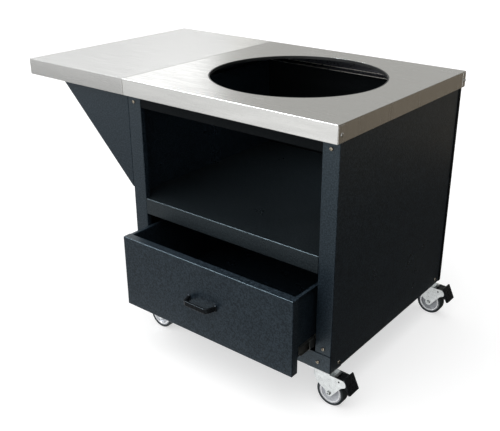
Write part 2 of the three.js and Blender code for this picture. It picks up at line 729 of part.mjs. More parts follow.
function mountingPlate() {
  const plate = span(
    [-PLATE_LENGTH / 2, -PLATE_WIDTH / 2, -GAP - PLATE_THICKNESS],
    [PLATE_LENGTH / 2, PLATE_WIDTH / 2, -GAP],
  );
  const raceLow = RACE_CUP_HEIGHT + RUNNING_GAP - CROWN_DROP;
  const headTop = CROWN_UNDERSIDE - RUNNING_GAP;
  const swivel = upright(turned([
    [0, headTop - KINGPIN_HEAD_HEIGHT],
    [KINGPIN_HEAD_RADIUS, headTop - KINGPIN_HEAD_HEIGHT],
    [KINGPIN_HEAD_RADIUS, headTop],
    [KINGPIN_RADIUS, headTop],
    [KINGPIN_RADIUS, raceLow],
    [RACE_RADIUS, raceLow],
    [RACE_RADIUS + RACE_FLARE, PLATE_MIDDLE],
    [0, PLATE_MIDDLE],
  ], PIN_STEPS));
  return join(plate, swivel);
}

// The lobe's outline, in shares of the way from the crown's end to the lobe's tip, and of its depth.
const LOBE_ROOT_SHARES = [0.42, 1.43];
const LOBE_CURVE_SHARES = [
  [0.55, 1.13, 0.82, 1],
  [1.03, 0.87, 0.97, 0.48],
  [0.91, 0.09, 0.67, 0.04],
];

function legOutline() {
  const along = (share) => CROWN_END + share * (LOBE_REACH - CROWN_END);
  const down = (share) => -CROWN_DROP - share * LOBE_DEPTH;
  const leg = new THREE.Shape();
  leg.moveTo(-NOSE_SETBACK, -CROWN_DROP);
  leg.lineTo(-NOSE_SETBACK, -LEG_FRONT_DROP);
  leg.absarc(WHEEL_TRAIL, AXLE_HEIGHT, LEG_BOSS_RADIUS, LEG_BOSS_START, LEG_BOSS_END);
  leg.lineTo(along(LOBE_ROOT_SHARES[0]), down(LOBE_ROOT_SHARES[1]));
  for (const [bendX, bendZ, endX, endZ] of LOBE_CURVE_SHARES) {
    leg.quadraticCurveTo(along(bendX), down(bendZ), along(endX), down(endZ));
  }
  leg.lineTo(CROWN_END, -CROWN_DROP);
  return leg;
}

function crownOutline(inset) {
  const half = FORK_HALF_WIDTH - inset;
  const crown = new THREE.Shape();
  crown.moveTo(CROWN_END, -half);
  crown.lineTo(CROWN_END, half);
  crown.lineTo(-NOSE_SETBACK, half);
  crown.absarc(-NOSE_SETBACK, 0, half, Math.PI / 2, Math.PI * 1.5);
  return crown;
}

// The crown's round nose is cut back to a slope that runs down into the legs.
function crown() {
  const low = -LEG_FRONT_DROP;
  const noseTip = -NOSE_SETBACK - FORK_HALF_WIDTH - OVERRUN;
  const legFront = FORK_SHEET - NOSE_SETBACK;
  const belowNose = outline([
    [noseTip, -CROWN_DROP - NOSE_EDGE],
    [noseTip, low - OVERRUN],
    [legFront, low - OVERRUN],
    [legFront, low],
  ]);
  const behindNose = span(
    [legFront, -FORK_HALF_WIDTH - OVERRUN, low - OVERRUN],
    [CROWN_END + OVERRUN, FORK_HALF_WIDTH + OVERRUN, CROWN_UNDERSIDE],
  );
  return cut(
    prism(crownOutline(0), "z", low, -CROWN_DROP),
    prism(crownOutline(FORK_SHEET), "z", low - OVERRUN, CROWN_UNDERSIDE),
    prism(belowNose, "y", -FORK_HALF_WIDTH - OVERRUN, FORK_HALF_WIDTH + OVERRUN),
    behindNose,
  );
}

function fork() {
  const leg = (side) => {
    const faces = [side * (FORK_HALF_WIDTH - FORK_SHEET), side * FORK_HALF_WIDTH];
    return prism(legOutline(), "y", Math.min(...faces), Math.max(...faces));
  };
  const across = 2 * (FORK_HALF_WIDTH + OVERRUN);
  const cupHeight = RACE_CUP_HEIGHT + FORK_SHEET / 2;
  const cupMiddle = -CROWN_DROP + RACE_CUP_HEIGHT - cupHeight / 2;
  const cup = cylinder(RACE_RADIUS, "z", [0, 0, cupMiddle], cupHeight, PIN_STEPS);
  const kingpin = KINGPIN_RADIUS + RUNNING_GAP;
  const pedalPin = PEDAL_PIN_RADIUS + RUNNING_GAP;
  return cut(
    join(crown(), leg(-1), leg(1), cup),
    cylinder(kingpin, "z", [0, 0, cupMiddle], 2 * (cupHeight + FORK_SHEET), PIN_STEPS),
    cylinder(AXLE_RADIUS + GAP, "y", [WHEEL_TRAIL, 0, AXLE_HEIGHT], across, BOLT_STEPS),
    cylinder(pedalPin, "y", [PEDAL_PIN_REACH, 0, -PEDAL_PIN_DROP], across, BOLT_STEPS),
  );
}

function wheelRim() {
  const [half, web] = [RIM_WIDTH / 2, WEB_THICKNESS / 2];
  const hub = half + HUB_STAND;
  const bore = AXLE_RADIUS + RUNNING_GAP;
  const outer = WHEEL_RADIUS - TYRE_THICKNESS;
  const inner = outer - RIM_WALL;
  return turned([
    [bore, -hub],
    [HUB_RADIUS, -hub],
    [HUB_RADIUS + RIM_SLOPE, -web],
    [inner - RIM_SLOPE, -web],
    [inner, -half],
    [outer, -half],
    [outer, half],
    [inner, half],
    [inner - RIM_SLOPE, web],
    [HUB_RADIUS + RIM_SLOPE, web],
    [HUB_RADIUS, hub],
    [bore, hub],
    [bore, -hub],
  ], WHEEL_STEPS);
}

function tyre() {
  const half = TYRE_WIDTH / 2;
  const inner = WHEEL_RADIUS - TYRE_THICKNESS + GAP;
  return turned([
    [inner, -half],
    [WHEEL_RADIUS - TYRE_SHOULDER, -half],
    [WHEEL_RADIUS, TYRE_SHOULDER - half],
    [WHEEL_RADIUS, half - TYRE_SHOULDER],
    [WHEEL_RADIUS - TYRE_SHOULDER, half],
    [inner, half],
    [inner, -half],
  ], WHEEL_STEPS);
}

function axle() {
  const nutFace = FORK_HALF_WIDTH + GAP;
  const shaft = cylinder(AXLE_RADIUS, "y", [0, 0, 0], 2 * nutFace + NUT_THICKNESS, BOLT_STEPS);
  const nut = (side) => {
    const middle = [0, side * (nutFace + NUT_THICKNESS / 2), 0];
    return cylinder(NUT_RADIUS, "y", middle, NUT_THICKNESS, NUT_SIDES);
  };
  return join(shaft, nut(-1), nut(1));
}

// The pedal's outlines, in shares of the way from its root to its tip, and from its top to its foot.
const PEDAL_ARM_SHARES = [
  [0, 0.24],
  [0.39, 0.22],
  [0.67, 0.35],
  [0.88, 0.88],
  [0.76, 0.96],
  [0.39, 0.63],
  [0, 0.49],
];
const PEDAL_TAB_SHARES = [
  [0.49, 0],
  [0.57, 0],
  [1, 0.92],
  [0.88, 1],
  [0.8, 0.94],
  [0.75, 0.67],
  [0.64, 0.35],
  [0.49, 0.12],
];

function brakePedal() {
  const root = CROWN_END + PEDAL_CROWN_GAP;
  const profile = (shares) => outline(shares.map(([along, down]) => [
    root + along * (PEDAL_REACH - root),
    -PEDAL_TOP_DROP - down * (PEDAL_TIP_DROP - PEDAL_TOP_DROP),
  ]));
  const pinPlace = [PEDAL_PIN_REACH, 0, -PEDAL_PIN_DROP];
  return join(
    prism(profile(PEDAL_ARM_SHARES), "y", -PEDAL_ARM_WIDTH / 2, PEDAL_ARM_WIDTH / 2),
    prism(profile(PEDAL_TAB_SHARES), "y", -PEDAL_TAB_WIDTH / 2, PEDAL_TAB_WIDTH / 2),
    cylinder(PEDAL_PIN_RADIUS, "y", pinPlace, 2 * FORK_HALF_WIDTH, BOLT_STEPS),
  );
}

const FRONT_SWIVEL_X = BODY_SIDE - FRONT_SWIVEL_INSET;
const REAR_SWIVEL_X = BODY_SIDE - REAR_SWIVEL_INSET;
const CORNERS = [
  ["front_left", -FRONT_SWIVEL_X, BODY_FRONT + SWIVEL_END_INSET],
  ["front_right", FRONT_SWIVEL_X, BODY_FRONT + SWIVEL_END_INSET],
  ["rear_left", -REAR_SWIVEL_X, BODY_REAR - SWIVEL_END_INSET],
  ["rear_right", REAR_SWIVEL_X, BODY_REAR - SWIVEL_END_INSET],
];
for (const [corner, x, y] of CORNERS) {
  const caster = new THREE.Group();
  caster.position.set(x, y, CASTER_HEIGHT);
  table.add(caster);
  place(caster, `${corner}_caster_plate`, mountingPlate(), ZINC);
  place(caster, `${corner}_caster_fork`, fork(), ZINC);
  place(caster, `${corner}_brake_pedal`, brakePedal(), BLACK_PLASTIC);
  const wheel = new THREE.Group();
  wheel.position.set(WHEEL_TRAIL, 0, AXLE_HEIGHT);
  caster.add(wheel);
  place(wheel, `${corner}_caster_axle`, axle(), ZINC);
  place(wheel, `${corner}_wheel_rim`, wheelRim(), GREY_PLASTIC);
  place(wheel, `${corner}_tyre`, tyre(), GREY_TREAD);
}

// Bolts and rivets: a domed head, and a shank through the sheets behind it. The head faces +Z until
// it is turned.
const DOME_SHARES = [[1, 0], [0.85, 0.65], [0.45, 1], [0, 1]];

function bolt() {
  const dome = DOME_SHARES.map(([out, up]) => [out * BOLT_HEAD_RADIUS, GAP + up * BOLT_HEAD_HEIGHT]);
  const shank = [[0, -BOLT_LENGTH], [BOLT_RADIUS, -BOLT_LENGTH], [BOLT_RADIUS, GAP]];
  return geometryOf(solid(upright(turned([...shank, ...dome], BOLT_STEPS))));
}

const fasteners = new THREE.Group();
table.add(fasteners);
for (const [name, facing, point] of BOLTS) {
  const mount = new THREE.Group();
  mount.position.set(...point);
  mount.quaternion.setFromUnitVectors(Z_AXIS, facing);
  fasteners.add(mount);
  place(mount, name, bolt(), ZINC);
}

// The whole table is centred over the origin, standing on Z = 0.
table.updateMatrixWorld(true);
const bounds = new THREE.Box3().setFromObject(table, true);
const centre = bounds.getCenter(new THREE.Vector3());
table.position.set(-centre.x, -centre.y, -bounds.min.z);

export default table;
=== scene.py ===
import math

import bmesh
import bpy
from mathutils import Matrix, Vector


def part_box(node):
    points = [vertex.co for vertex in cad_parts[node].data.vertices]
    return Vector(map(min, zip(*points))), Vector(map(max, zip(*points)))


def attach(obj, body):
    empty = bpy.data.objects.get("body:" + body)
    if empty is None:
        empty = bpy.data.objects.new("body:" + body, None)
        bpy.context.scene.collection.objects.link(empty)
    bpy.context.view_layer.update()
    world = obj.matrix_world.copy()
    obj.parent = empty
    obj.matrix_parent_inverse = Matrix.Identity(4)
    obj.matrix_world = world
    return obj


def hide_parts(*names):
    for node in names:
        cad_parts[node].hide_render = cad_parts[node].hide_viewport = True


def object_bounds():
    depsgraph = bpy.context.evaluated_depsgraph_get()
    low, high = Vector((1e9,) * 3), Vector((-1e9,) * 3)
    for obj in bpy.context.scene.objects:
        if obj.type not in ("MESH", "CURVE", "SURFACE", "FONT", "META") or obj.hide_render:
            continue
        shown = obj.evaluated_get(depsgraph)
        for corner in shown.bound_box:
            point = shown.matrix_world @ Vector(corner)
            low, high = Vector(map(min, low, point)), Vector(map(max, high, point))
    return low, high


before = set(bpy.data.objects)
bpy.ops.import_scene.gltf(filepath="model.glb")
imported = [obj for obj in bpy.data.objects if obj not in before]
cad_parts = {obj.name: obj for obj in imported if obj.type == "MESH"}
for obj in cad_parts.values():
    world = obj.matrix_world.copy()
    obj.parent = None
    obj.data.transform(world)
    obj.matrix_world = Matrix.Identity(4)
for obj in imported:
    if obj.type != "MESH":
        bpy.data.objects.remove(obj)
cad_low, cad_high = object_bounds()
scene = bpy.context.scene
scene.view_settings.view_transform = "Standard"

# Camera: a long-lens product view from the front right, a little above the worktop. The place and
# the turn come from a camera fitted to the table's own straight edges and its round hole.
CAMERA_PLACE = Vector((1.4524, -1.7399, 1.3513))
CAMERA_AZIMUTH = math.radians(37.4316)
CAMERA_ELEVATION = math.radians(23.7265)
CAMERA_ROLL = math.radians(0.3194)
LENS = 53.233
SENSOR_WIDTH = 36
SHIFT_RIGHT = -0.0343
SHIFT_UP = -0.0060

camera = bpy.data.objects.new("camera", bpy.data.cameras.new("camera"))
scene.collection.objects.link(camera)
scene.camera = camera
camera.data.lens = LENS
camera.data.sensor_width = SENSOR_WIDTH
camera.data.shift_x = SHIFT_RIGHT
camera.data.shift_y = SHIFT_UP
away = Vector((
    math.sin(CAMERA_AZIMUTH) * math.cos(CAMERA_ELEVATION),
    -math.cos(CAMERA_AZIMUTH) * math.cos(CAMERA_ELEVATION),
    math.sin(CAMERA_ELEVATION),
))
turn = (-away).to_track_quat("-Z", "Y").to_matrix() @ Matrix.Rotation(CAMERA_ROLL, 3, "Z")
camera.matrix_world = Matrix.Translation(CAMERA_PLACE) @ turn.to_4x4()

# Studio: a white floor that runs into a white surround, and one big soft lamp high in front on the
# left. The surround is white where it is seen or mirrored, and a plain fill light otherwise.
FILL_LEVEL = 0.3
LAMP_LEVEL = 2.2
LAMP_ANGLE = math.radians(80)
LAMP_DIRECTION = Vector((0.2, 0.4, -1.0))
FLOOR_HALF = 30
FLOOR_COLOUR = (0.6, 0.6, 0.6, 1)
FLOOR_LIFT = 0.6


def math_node(tree, operation, first, second=None):
    """The output of a math node. Each operand is a socket or a number."""
    node = tree.nodes.new("ShaderNodeMath")
    node.operation = operation
    for slot, value in enumerate((first, second)):
        if value is None:
            continue
        if isinstance(value, (int, float)):
            node.inputs[slot].default_value = value
        else:
            tree.links.new(value, node.inputs[slot])
    return node.outputs[0]


def seen_or_mirrored(tree):
    """The socket that is 1 for camera, glossy and transmission rays, and 0 for the rest."""
    path = tree.nodes.new("ShaderNodeLightPath")
    either = math_node(tree, "MAXIMUM", path.outputs["Is Camera Ray"], path.outputs["Is Glossy Ray"])
    return math_node(tree, "MAXIMUM", either, path.outputs["Is Transmission Ray"])


def flat_corners(spans, level):
    """The corners of a level board, in the order that turns its front up. The spans are along X and Y."""
    (left, right), (front, rear) = spans
    return [(left, front, level), (right, front, level), (right, rear, level), (left, rear, level)]


world = bpy.data.worlds.new("white_surround")
scene.world = world
world.use_nodes = True
air_tree = world.node_tree
air_tree.nodes.clear()
pick = air_tree.nodes.new("ShaderNodeMixShader")
for slot, strength in ((1, FILL_LEVEL), (2, 1)):
    background = air_tree.nodes.new("ShaderNodeBackground")
    background.inputs["Color"].default_value = (1, 1, 1, 1)
    background.inputs["Strength"].default_value = strength
    air_tree.links.new(background.outputs[0], pick.inputs[slot])
air_tree.links.new(seen_or_mirrored(air_tree), pick.inputs["Fac"])
air_out = air_tree.nodes.new("ShaderNodeOutputWorld")
air_tree.links.new(pick.outputs[0], air_out.inputs["Surface"])

lamp = bpy.data.objects.new("soft_lamp", bpy.data.lights.new("soft_lamp", "SUN"))
scene.collection.objects.link(lamp)
lamp.data.energy = LAMP_LEVEL
lamp.data.angle = LAMP_ANGLE
lamp.visible_glossy = False
lamp.rotation_mode = "QUATERNION"
lamp.rotation_quaternion = LAMP_DIRECTION.to_track_quat("-Z", "Y")

floor_mesh = bpy.data.meshes.new("floor")
floor_mesh.from_pydata(flat_corners([(-FLOOR_HALF, FLOOR_HALF)] * 2, 0), [], [(0, 1, 2, 3)])
floor = bpy.data.objects.new("floor", floor_mesh)
scene.collection.objects.link(floor)
floor_paint = bpy.data.materials.new("floor_paint")
floor_paint.use_nodes = True
floor_tree = floor_paint.node_tree
floor_tree.nodes.clear()
matt = floor_tree.nodes.new("ShaderNodeBsdfDiffuse")
matt.inputs["Color"].default_value = FLOOR_COLOUR
lift = floor_tree.nodes.new("ShaderNodeEmission")
lift_level = math_node(floor_tree, "MULTIPLY", seen_or_mirrored(floor_tree), FLOOR_LIFT)
floor_sum = floor_tree.nodes.new("ShaderNodeAddShader")
floor_out = floor_tree.nodes.new("ShaderNodeOutputMaterial")
floor_tree.links.new(lift_level, lift.inputs["Strength"])
floor_tree.links.new(matt.outputs[0], floor_sum.inputs[0])
floor_tree.links.new(lift.outputs[0], floor_sum.inputs[1])
floor_tree.links.new(floor_sum.outputs[0], floor_out.inputs["Surface"])
floor_mesh.materials.append(floor_paint)

# Studio cards: glowing boards round the table that its polished faces mirror. Dark warm ones lie and stand
# on the right, grey and pale ones stand far behind, white and grey ones lie in front, and two lights hang
# high. A black flag under the round hole hides the cards from the middle shelf's mirrored rays.
WHITE = (1, 1, 1, 1)
WARM_WHITE = (1, 0.99, 0.95, 1)
COOL_WHITE = (0.88, 0.95, 1, 1)
RIGHT_CARD_COLOUR = (0.07, 0.066, 0.06, 1)
UPPER_CARD_COLOUR = (0.2, 0.195, 0.185, 1)
SIDE_CARD_COLOUR = (0.185, 0.158, 0.124, 1)
NEAR_SIDE_CARD_COLOUR = (0.05, 0.046, 0.04, 1)
CARD_DISTANCE = 9
NEAR_CARD_DISTANCE = 8.5
FLOOR_CARD_LIFT = 0.004
RAISED_CARD_LIFT = 0.006
FLAG_SPAN = ((-0.16, 0.54), (-0.26, 0.40))
FLAG_DROP = 0.12
# Each standing card has its distance, its headings and rises in degrees, its colour, its level, and
# whether matt faces see it.
STANDING_CARDS = {
    "right_card": (CARD_DISTANCE, (-48, 61), (-3.5, 9), RIGHT_CARD_COLOUR, 1, True),
    "upper_card": (CARD_DISTANCE, (-48, 61), (9, 76), UPPER_CARD_COLOUR, 1, False),
    "grey_card": (CARD_DISTANCE, (62, 131.5), (2, 58), WARM_WHITE, 0.48, False),
    "dim_card": (NEAR_CARD_DISTANCE, (125.5, 131.5), (14, 40), WARM_WHITE, 0.02, False),
    "pale_card": (NEAR_CARD_DISTANCE, (122.5, 131.5), (2, 11), WARM_WHITE, 1.1, False),
    "shelf_card": (CARD_DISTANCE, (142, 172), (0, 34), WHITE, 1.02, False),
    "softbox": (CARD_DISTANCE, (-182, -128), (38, 63), COOL_WHITE, 17, False),
    "edge_card": (NEAR_CARD_DISTANCE, (84, 108), (36, 60), WHITE, 2.5, False),
    "glow_card": (CARD_DISTANCE, (132.8, 141.5), (11.6, 14.6), WHITE, 2.6, False),
}
# Each lying card has its span along X and along Y, its lift off the floor, its colour, its level, and
# whether matt faces see it.
LYING_CARDS = {
    "side_card": ((0.575, 9), (-2, 9), FLOOR_CARD_LIFT, SIDE_CARD_COLOUR, 1, True),
    "near_side_card": ((0.575, 1.55), (-2, 1.95), RAISED_CARD_LIFT, NEAR_SIDE_CARD_COLOUR, 1, True),
    "left_floor_card": ((-9, -1.5), (-6, -2), FLOOR_CARD_LIFT, WHITE, 1, False),
    "gusset_card": ((-9, -1.5), (-2, -1.8), FLOOR_CARD_LIFT, WHITE, 0.4, False),
    "near_floor_card": ((-6, 0.4), (-1.8, -0.5), FLOOR_CARD_LIFT, WHITE, 0.4, False),
    "right_floor_card": ((-1.5, 0.2), (-6, -1.8), FLOOR_CARD_LIFT, WHITE, 1.22, False),
}


def studio_card(name, corners, colour, level, lights_matt):
    """A board that glows evenly on its front. Polished faces mirror it, matt ones may see it too, and
    it neither shows nor casts a shadow."""
    mesh = bpy.data.meshes.new(name)
    mesh.from_pydata(corners, [], [(0, 1, 2, 3)])
    card = bpy.data.objects.new(name, mesh)
    scene.collection.objects.link(card)
    for sight in ("visible_camera", "visible_shadow", "visible_transmission"):
        setattr(card, sight, False)
    card.visible_diffuse = lights_matt
    paint = bpy.data.materials.new(name)
    paint.use_nodes = True
    tree = paint.node_tree
    tree.nodes.clear()
    glow = tree.nodes.new("ShaderNodeEmission")
    glow.inputs["Color"].default_value = colour
    glow.inputs["Strength"].default_value = level
    clear = tree.nodes.new("ShaderNodeBsdfTransparent")
    sides = tree.nodes.new("ShaderNodeMixShader")
    tree.links.new(tree.nodes.new("ShaderNodeNewGeometry").outputs["Backfacing"], sides.inputs["Fac"])
    tree.links.new(glow.outputs[0], sides.inputs[1])
    tree.links.new(clear.outputs[0], sides.inputs[2])
    out = tree.nodes.new("ShaderNodeOutputMaterial")
    tree.links.new(sides.outputs[0], out.inputs["Surface"])
    mesh.materials.append(paint)


def card_corner(distance, heading, rise):
    """A point at that distance from the table's middle. Its heading is turned from +X towards +Y."""
    flat = distance * math.cos(math.radians(rise))
    return (
        flat * math.cos(math.radians(heading)),
        flat * math.sin(math.radians(heading)),
        cad_high.z + distance * math.sin(math.radians(rise)),
    )


for name, (distance, headings, rises, colour, level, lights_matt) in STANDING_CARDS.items():
    (right_end, left_end), (foot, top) = headings, rises
    places = [(left_end, foot), (right_end, foot), (right_end, top), (left_end, top)]
    studio_card(name, [card_corner(distance, *place) for place in places], colour, level, lights_matt)
for name, (span_x, span_y, card_lift, colour, level, lights_matt) in LYING_CARDS.items():
    studio_card(name, flat_corners((span_x, span_y), card_lift), colour, level, lights_matt)
flag_corners = flat_corners(FLAG_SPAN, cad_high.z - FLAG_DROP)
studio_card("flag", flag_corners[::-1], (0, 0, 0, 1), 0, False)

# Worktop: one sheet of stainless steel with satin grain along its length. All four edges are
# folded down, the front and rear ones end in a hem turned in below, and the round hole is cut out.
TOP_SHEET = 0.0012
TOP_BEND = 0.0015
TOP_CORNER = 0.0022
HEM_FOLD = 0.0015
HEM_WIDTH = 0.013
BEND_STEPS = 7
CORNER_STEPS = 5
SIDE_STEPS = 40
CUT_EDGE = 0.0003
WELD_GAP = 1e-6
HOLE_CENTRE = Vector((0.188, 0.0625))
HOLE_RADIUS = 0.268
BEAD_LAP = 0.0022
HOLE_DEBURR = 0.00004
STAINLESS_COLOUR = (0.66, 0.66, 0.645)
STAINLESS_DARK_SHARE = 0.955
STAINLESS_LIGHT_SHARE = 1.03
STAINLESS_ROUGHNESS = 0.24
GRAIN_ROUGHNESS_SPREAD = 0.03
STREAK_ROUGHNESS_SPREAD = 0.02
GRAIN_LINE_WIDTH = 0.0007
GRAIN_LINE_LENGTH = 0.06
GRAIN_DEPTH = 0.00004
GRAIN_STRENGTH = 0.35
END_FACING = 0.7


def new_group(name, inputs, outputs):
    """An empty shader node group with named number inputs and outputs, and its two end nodes."""
    group = bpy.data.node_groups.new(name, "ShaderNodeTree")
    for label, value in inputs:
        socket = group.interface.new_socket(label, in_out="INPUT", socket_type="NodeSocketFloat")
        socket.default_value = value
    for label in outputs:
        group.interface.new_socket(label, in_out="OUTPUT", socket_type="NodeSocketFloat")
    return group, group.nodes.new("NodeGroupInput"), group.nodes.new("NodeGroupOutput")


def noise_node(tree, place, size, detail):
    """The output of a noise whose lumps are about that size, in metres or in units of its place."""
    noise = tree.nodes.new("ShaderNodeTexNoise")
    noise.inputs["Detail"].default_value = detail
    tree.links.new(place, noise.inputs["Vector"])
    if isinstance(size, (int, float)):
        noise.inputs["Scale"].default_value = 1 / size
    else:
        tree.links.new(math_node(tree, "DIVIDE", 1.0, size), noise.inputs["Scale"])
    return noise.outputs["Fac"]


def satin_grain_group():
    """Fine lines and broad streaks left by a belt along X, that follow the sheet round its folds."""
    group, entry, leave = new_group(
        "satin_grain",
        [("Line Width", 0.0006), ("Line Length", 0.05), ("Streak Length", 0.16), ("Streak Stretch", 9.0)],
        ["Grain", "Streak"])
    spot = group.nodes.new("ShaderNodeTexCoord").outputs["Object"]
    parts = group.nodes.new("ShaderNodeSeparateXYZ")
    group.links.new(spot, parts.inputs[0])
    facing = group.nodes.new("ShaderNodeNewGeometry")
    ways = group.nodes.new("ShaderNodeSeparateXYZ")
    group.links.new(facing.outputs["True Normal"], ways.inputs[0])
    end_face = math_node(group, "GREATER_THAN", math_node(group, "ABSOLUTE", ways.outputs["X"]), END_FACING)
    drop = math_node(group, "MULTIPLY", parts.outputs["Z"], math_node(group, "SUBTRACT", 1.0, end_face))
    across = math_node(group, "ADD", parts.outputs["Y"], drop)
    along = math_node(group, "ADD", parts.outputs["X"],
                      math_node(group, "MULTIPLY", parts.outputs["Z"], end_face))
    unfolded = group.nodes.new("ShaderNodeCombineXYZ")
    group.links.new(math_node(group, "DIVIDE", along, entry.outputs["Line Length"]), unfolded.inputs["X"])
    group.links.new(math_node(group, "DIVIDE", across, entry.outputs["Line Width"]), unfolded.inputs["Y"])
    group.links.new(noise_node(group, unfolded.outputs[0], 1.0, 2.0), leave.inputs["Grain"])
    broad = group.nodes.new("ShaderNodeCombineXYZ")
    group.links.new(along, broad.inputs["X"])
    group.links.new(math_node(group, "MULTIPLY", across, entry.outputs["Streak Stretch"]), broad.inputs["Y"])
    streak = noise_node(group, broad.outputs[0], entry.outputs["Streak Length"], 4.0)
    group.links.new(streak, leave.inputs["Streak"])
    return group


SATIN_GRAIN = satin_grain_group()


def add_group(tree, group, **values):
    """Places a node group in a material with its own values, and returns its outputs."""
    node = tree.nodes.new("ShaderNodeGroup")
    node.node_tree = group
    for label, value in values.items():
        node.inputs[label.replace("_", " ")].default_value = value
    return node.outputs


def span_value(tree, value, low=0.0, high=1.0, start=0.3, end=0.7):
    """The output that runs from low to high as value, mostly a noise, runs from start to end."""
    node = tree.nodes.new("ShaderNodeMapRange")
    node.inputs["From Min"].default_value = start
    node.inputs["From Max"].default_value = end
    node.inputs["To Min"].default_value = low
    node.inputs["To Max"].default_value = high
    tree.links.new(value, node.inputs["Value"])
    return node.outputs["Result"]


def mixed_colour(tree, factor, first, second):
    """The output that runs from the first colour to the second as factor runs from 0 to 1."""
    node = tree.nodes.new("ShaderNodeMix")
    node.data_type = "RGBA"
    node.inputs["A"].default_value = (*first, 1)
    node.inputs["B"].default_value = (*second, 1)
    tree.links.new(factor, node.inputs["Factor"])
    return node.outputs["Result"]


def raised_normal(tree, height, depth, strength=1.0, on=None):
    """The output of a bump node whose full height is depth metres, on another normal if there is one."""
    node = tree.nodes.new("ShaderNodeBump")
    node.inputs["Strength"].default_value = strength
    node.inputs["Distance"].default_value = depth
    tree.links.new(height, node.inputs["Height"])
    if on is not None:
        tree.links.new(on, node.inputs["Normal"])
    return node.outputs["Normal"]


def new_finish(name, metallic):
    """A material with its shader node and tree, ready for the values of one finish."""
    material = bpy.data.materials.new(name)
    material.use_nodes = True
    shader = material.node_tree.nodes["Principled BSDF"]
    shader.inputs["Metallic"].default_value = metallic
    return material, material.node_tree, shader


def satin_stainless(name, slope):
    """Satin stainless steel: near neutral, a little darker and rougher along its deeper lines. slope
    tilts its shading as if the sheet hung down towards the left, as a rise over a run."""
    material, tree, shader = new_finish(name, 1.0)
    grain = add_group(tree, SATIN_GRAIN, Line_Width=GRAIN_LINE_WIDTH, Line_Length=GRAIN_LINE_LENGTH)
    dark = tuple(STAINLESS_DARK_SHARE * c for c in STAINLESS_COLOUR)
    light = tuple(STAINLESS_LIGHT_SHARE * c for c in STAINLESS_COLOUR)
    tree.links.new(
        mixed_colour(tree, span_value(tree, grain["Streak"]), dark, light),
        shader.inputs["Base Color"])
    fine = span_value(tree, grain["Grain"], -GRAIN_ROUGHNESS_SPREAD, GRAIN_ROUGHNESS_SPREAD)
    broad = span_value(tree, grain["Streak"], STAINLESS_ROUGHNESS + STREAK_ROUGHNESS_SPREAD,
                       STAINLESS_ROUGHNESS - STREAK_ROUGHNESS_SPREAD)
    tree.links.new(math_node(tree, "ADD", fine, broad), shader.inputs["Roughness"])
    place = tree.nodes.new("ShaderNodeSeparateXYZ")
    tree.links.new(tree.nodes.new("ShaderNodeTexCoord").outputs["Object"], place.inputs[0])
    hang = raised_normal(tree, math_node(tree, "MULTIPLY", place.outputs["X"], slope), 1.0)
    tree.links.new(
        raised_normal(tree, grain["Grain"], GRAIN_DEPTH, GRAIN_STRENGTH, hang), shader.inputs["Normal"])
    return material


STAINLESS = satin_stainless("satin_stainless", 0.0)


def skin(loops, ring):
    """A mesh skinned over loops with equally many points. A ring joins the last loop to the first,
    and without one both ends are closed with a flat face."""
    count = len(loops[0])
    points = [point for loop in loops for point in loop]
    faces = []
    for i in range(len(loops) if ring else len(loops) - 1):
        j = (i + 1) % len(loops)
        for k in range(count):
            n = (k + 1) % count
            faces.append((i * count + k, i * count + n, j * count + n, j * count + k))
    if not ring:
        faces.append(tuple(range(count)))
        faces.append(tuple(range(len(points) - count, len(points))))
    mesh = bpy.data.meshes.new("skin")
    mesh.from_pydata(points, [], faces)
    work = bmesh.new()
    work.from_mesh(mesh)
    bmesh.ops.remove_doubles(work, verts=work.verts, dist=WELD_GAP)
    bmesh.ops.dissolve_degenerate(work, edges=work.edges, dist=WELD_GAP)
    bmesh.ops.recalc_face_normals(work, faces=work.faces)
    work.to_mesh(mesh)
    work.free()
    return mesh


def smooth_bends(obj):
    """Shades an object smoothly over its bends while its flat faces stay flat."""
    obj.data.polygons.foreach_set("use_smooth", [True] * len(obj.data.polygons))
    weighted = obj.modifiers.new("flat_faces", "WEIGHTED_NORMAL")
    weighted.keep_sharp = True


def add_piece(name, mesh, material, body, nodes=(), crease=35):
    """Shows a mesh as a piece that rides on a body and stands for the named nodes. Edges that turn by
    more degrees than the crease stay sharp."""
    mesh.name = name
    mesh.materials.append(material)
    obj = bpy.data.objects.new(name, mesh)
    scene.collection.objects.link(obj)
    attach(obj, body)
    if nodes:
        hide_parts(*nodes)
    if crease:
        smooth_bends(obj)
        mesh.set_sharp_from_angle(angle=math.radians(crease))
    return obj


def pan_loop(low, high, insets, corner, level):
    """A rectangle with round corners at one level. The insets are left, right, front and rear."""
    left, right, front, rear = insets
    x0, x1 = low[0] + left, high[0] - right
    y0, y1 = low[1] + front, high[1] - rear
    corners = [(x1 - corner, y0 + corner, -90), (x1 - corner, y1 - corner, 0),
               (x0 + corner, y1 - corner, 90), (x0 + corner, y0 + corner, 180)]
    loop = []
    for (cx, cy, start), (nx, ny, _) in zip(corners, corners[1:] + corners[:1]):
        for step in range(CORNER_STEPS + 1):
            angle = math.radians(start + 90 * step / CORNER_STEPS)
            loop.append(Vector((cx + corner * math.cos(angle), cy + corner * math.sin(angle), level)))
        end = loop[-1]
        angle = math.radians(start + 90)
        ahead = Vector((nx + corner * math.cos(angle), ny + corner * math.sin(angle), level))
        loop += [end.lerp(ahead, step / SIDE_STEPS) for step in range(1, SIDE_STEPS)]
    return loop


